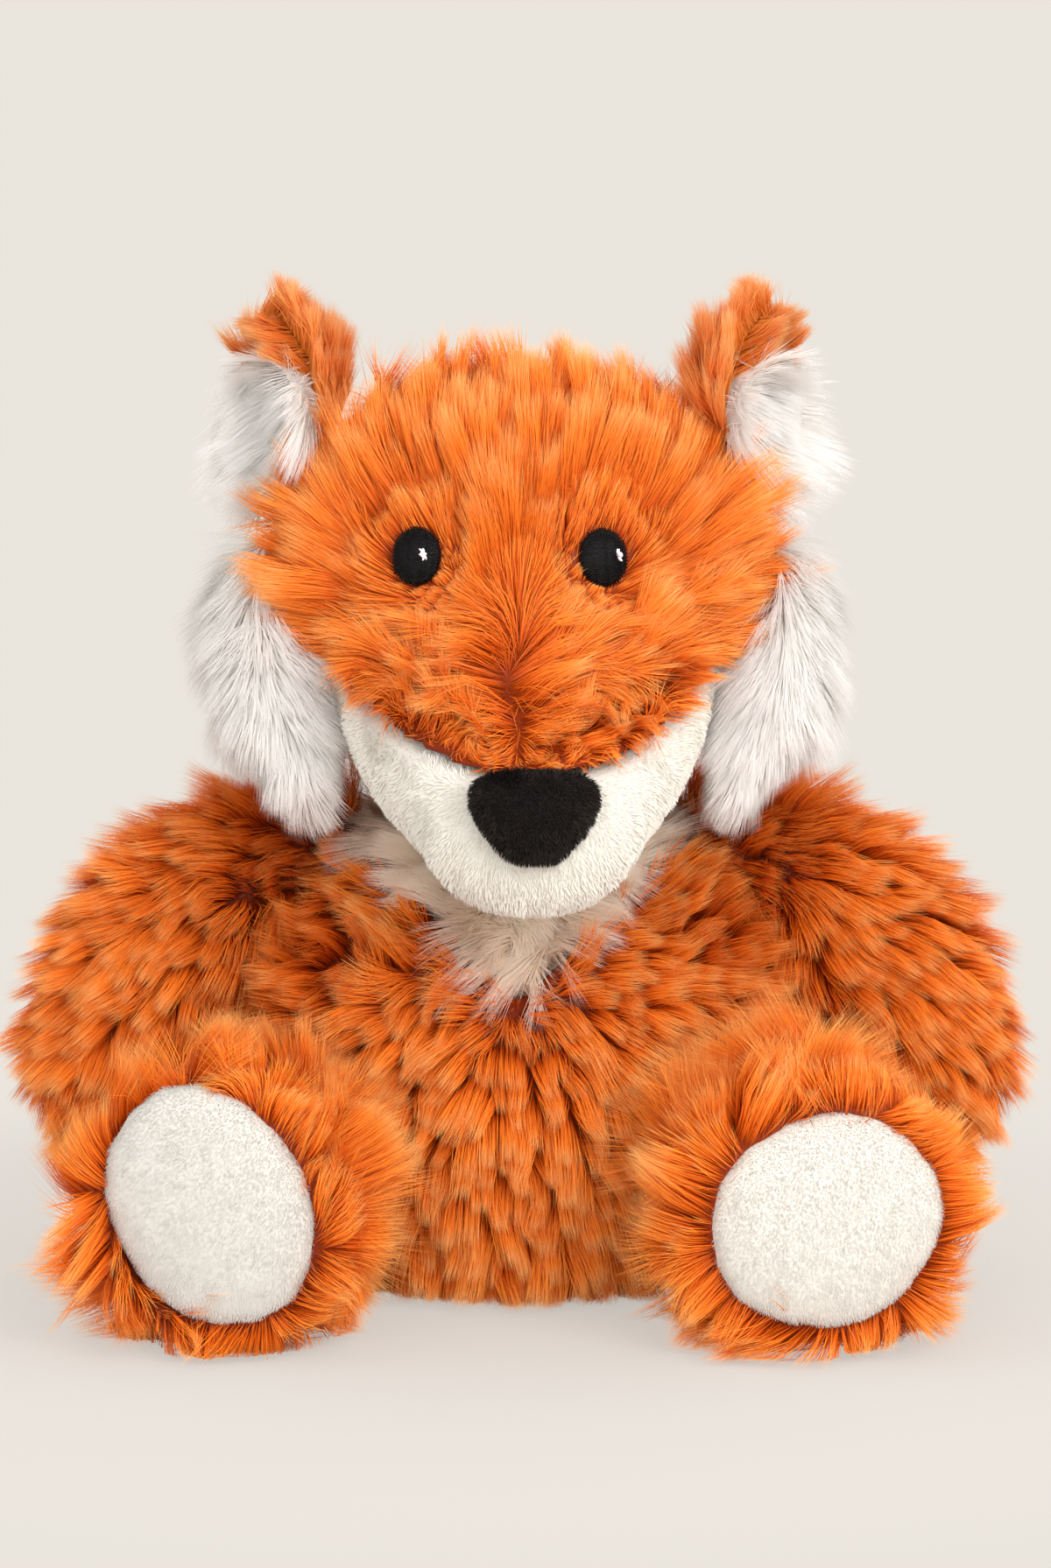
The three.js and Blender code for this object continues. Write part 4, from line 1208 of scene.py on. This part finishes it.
def seen_plainly(tree):
    """1 for what the camera sees, straight or in something shiny or clear, and 0 for what lights the fox."""
    rays = tree.add("ShaderNodeLightPath").outputs
    straight = tree.number("MAXIMUM", rays["Is Camera Ray"], rays["Is Glossy Ray"])
    return tree.number("MAXIMUM", straight, rays["Is Transmission Ray"])


def make_world():
    """Plain white light all round, behind a pale wall that only the camera sees."""
    world = bpy.data.worlds.new("studio")
    world.use_nodes = True
    tree = Tree(world.node_tree)
    plain = world.node_tree.nodes["Background"]
    tree.give(plain, {"Color": (1, 1, 1, 1), "Strength": AMBIENT})
    wall = tree.out("ShaderNodeBackground", {"Color": linear(WALL_COLOUR), "Strength": 1.0})
    tree.end_in(seen_plainly(tree), plain.outputs[0], wall, "World Output")
    scene.world = world


def make_floor():
    """Paper that takes the fox's shadow, and fades to the wall's colour away from it."""
    mesh = bpy.data.meshes.new("floor")
    h = FLOOR_HALF
    mesh.from_pydata([(-h, -h, 0), (h, -h, 0), (h, h, 0), (-h, h, 0)], [], [(0, 1, 2, 3)])
    floor = placed("floor", mesh)
    material, tree, shader = surface("paper_floor", Base_Color=linear(FLOOR_COLOUR), Roughness=0.9)
    glow = tree.out("ShaderNodeEmission", {"Color": linear(WALL_COLOUR), "Strength": 1.0})
    spot = tree.add("ShaderNodeTexCoord").outputs["Object"]
    far = tree.out("ShaderNodeMapRange", {
        "Value": tree.vector("LENGTH", spot), "From Min": FLOOR_NEAR, "From Max": FLOOR_FAR,
        "To Min": FLOOR_GLOW, "To Max": 1.0,
    }, interpolation_type="SMOOTHSTEP")
    tree.end_in(tree.times(seen_plainly(tree), far), shader.outputs[0], glow)
    mesh.materials.append(material)


def make_lamps():
    for name, (place, size, power) in LAMPS.items():
        data = bpy.data.lights.new(name, "AREA")
        data.size = size
        data.energy = power
        lamp = placed(name, data)
        lamp.location = place
        lamp.rotation_euler = (LAMPS_FACE - lamp.location).to_track_quat("-Z", "Y").to_euler()


def make_camera():
    data = bpy.data.cameras.new("camera")
    data.lens = CAMERA_LENS
    data.sensor_width = SENSOR
    camera = placed("camera", data)
    ahead = Vector((0, math.cos(CAMERA_PITCH), -math.sin(CAMERA_PITCH)))
    camera.location = AIM - ahead * CAMERA_DISTANCE
    camera.rotation_euler = (math.pi / 2 - CAMERA_PITCH, 0, 0)
    scene.camera = camera


make_world()
make_floor()
make_lamps()
make_camera()
scene.view_settings.view_transform = "Standard"
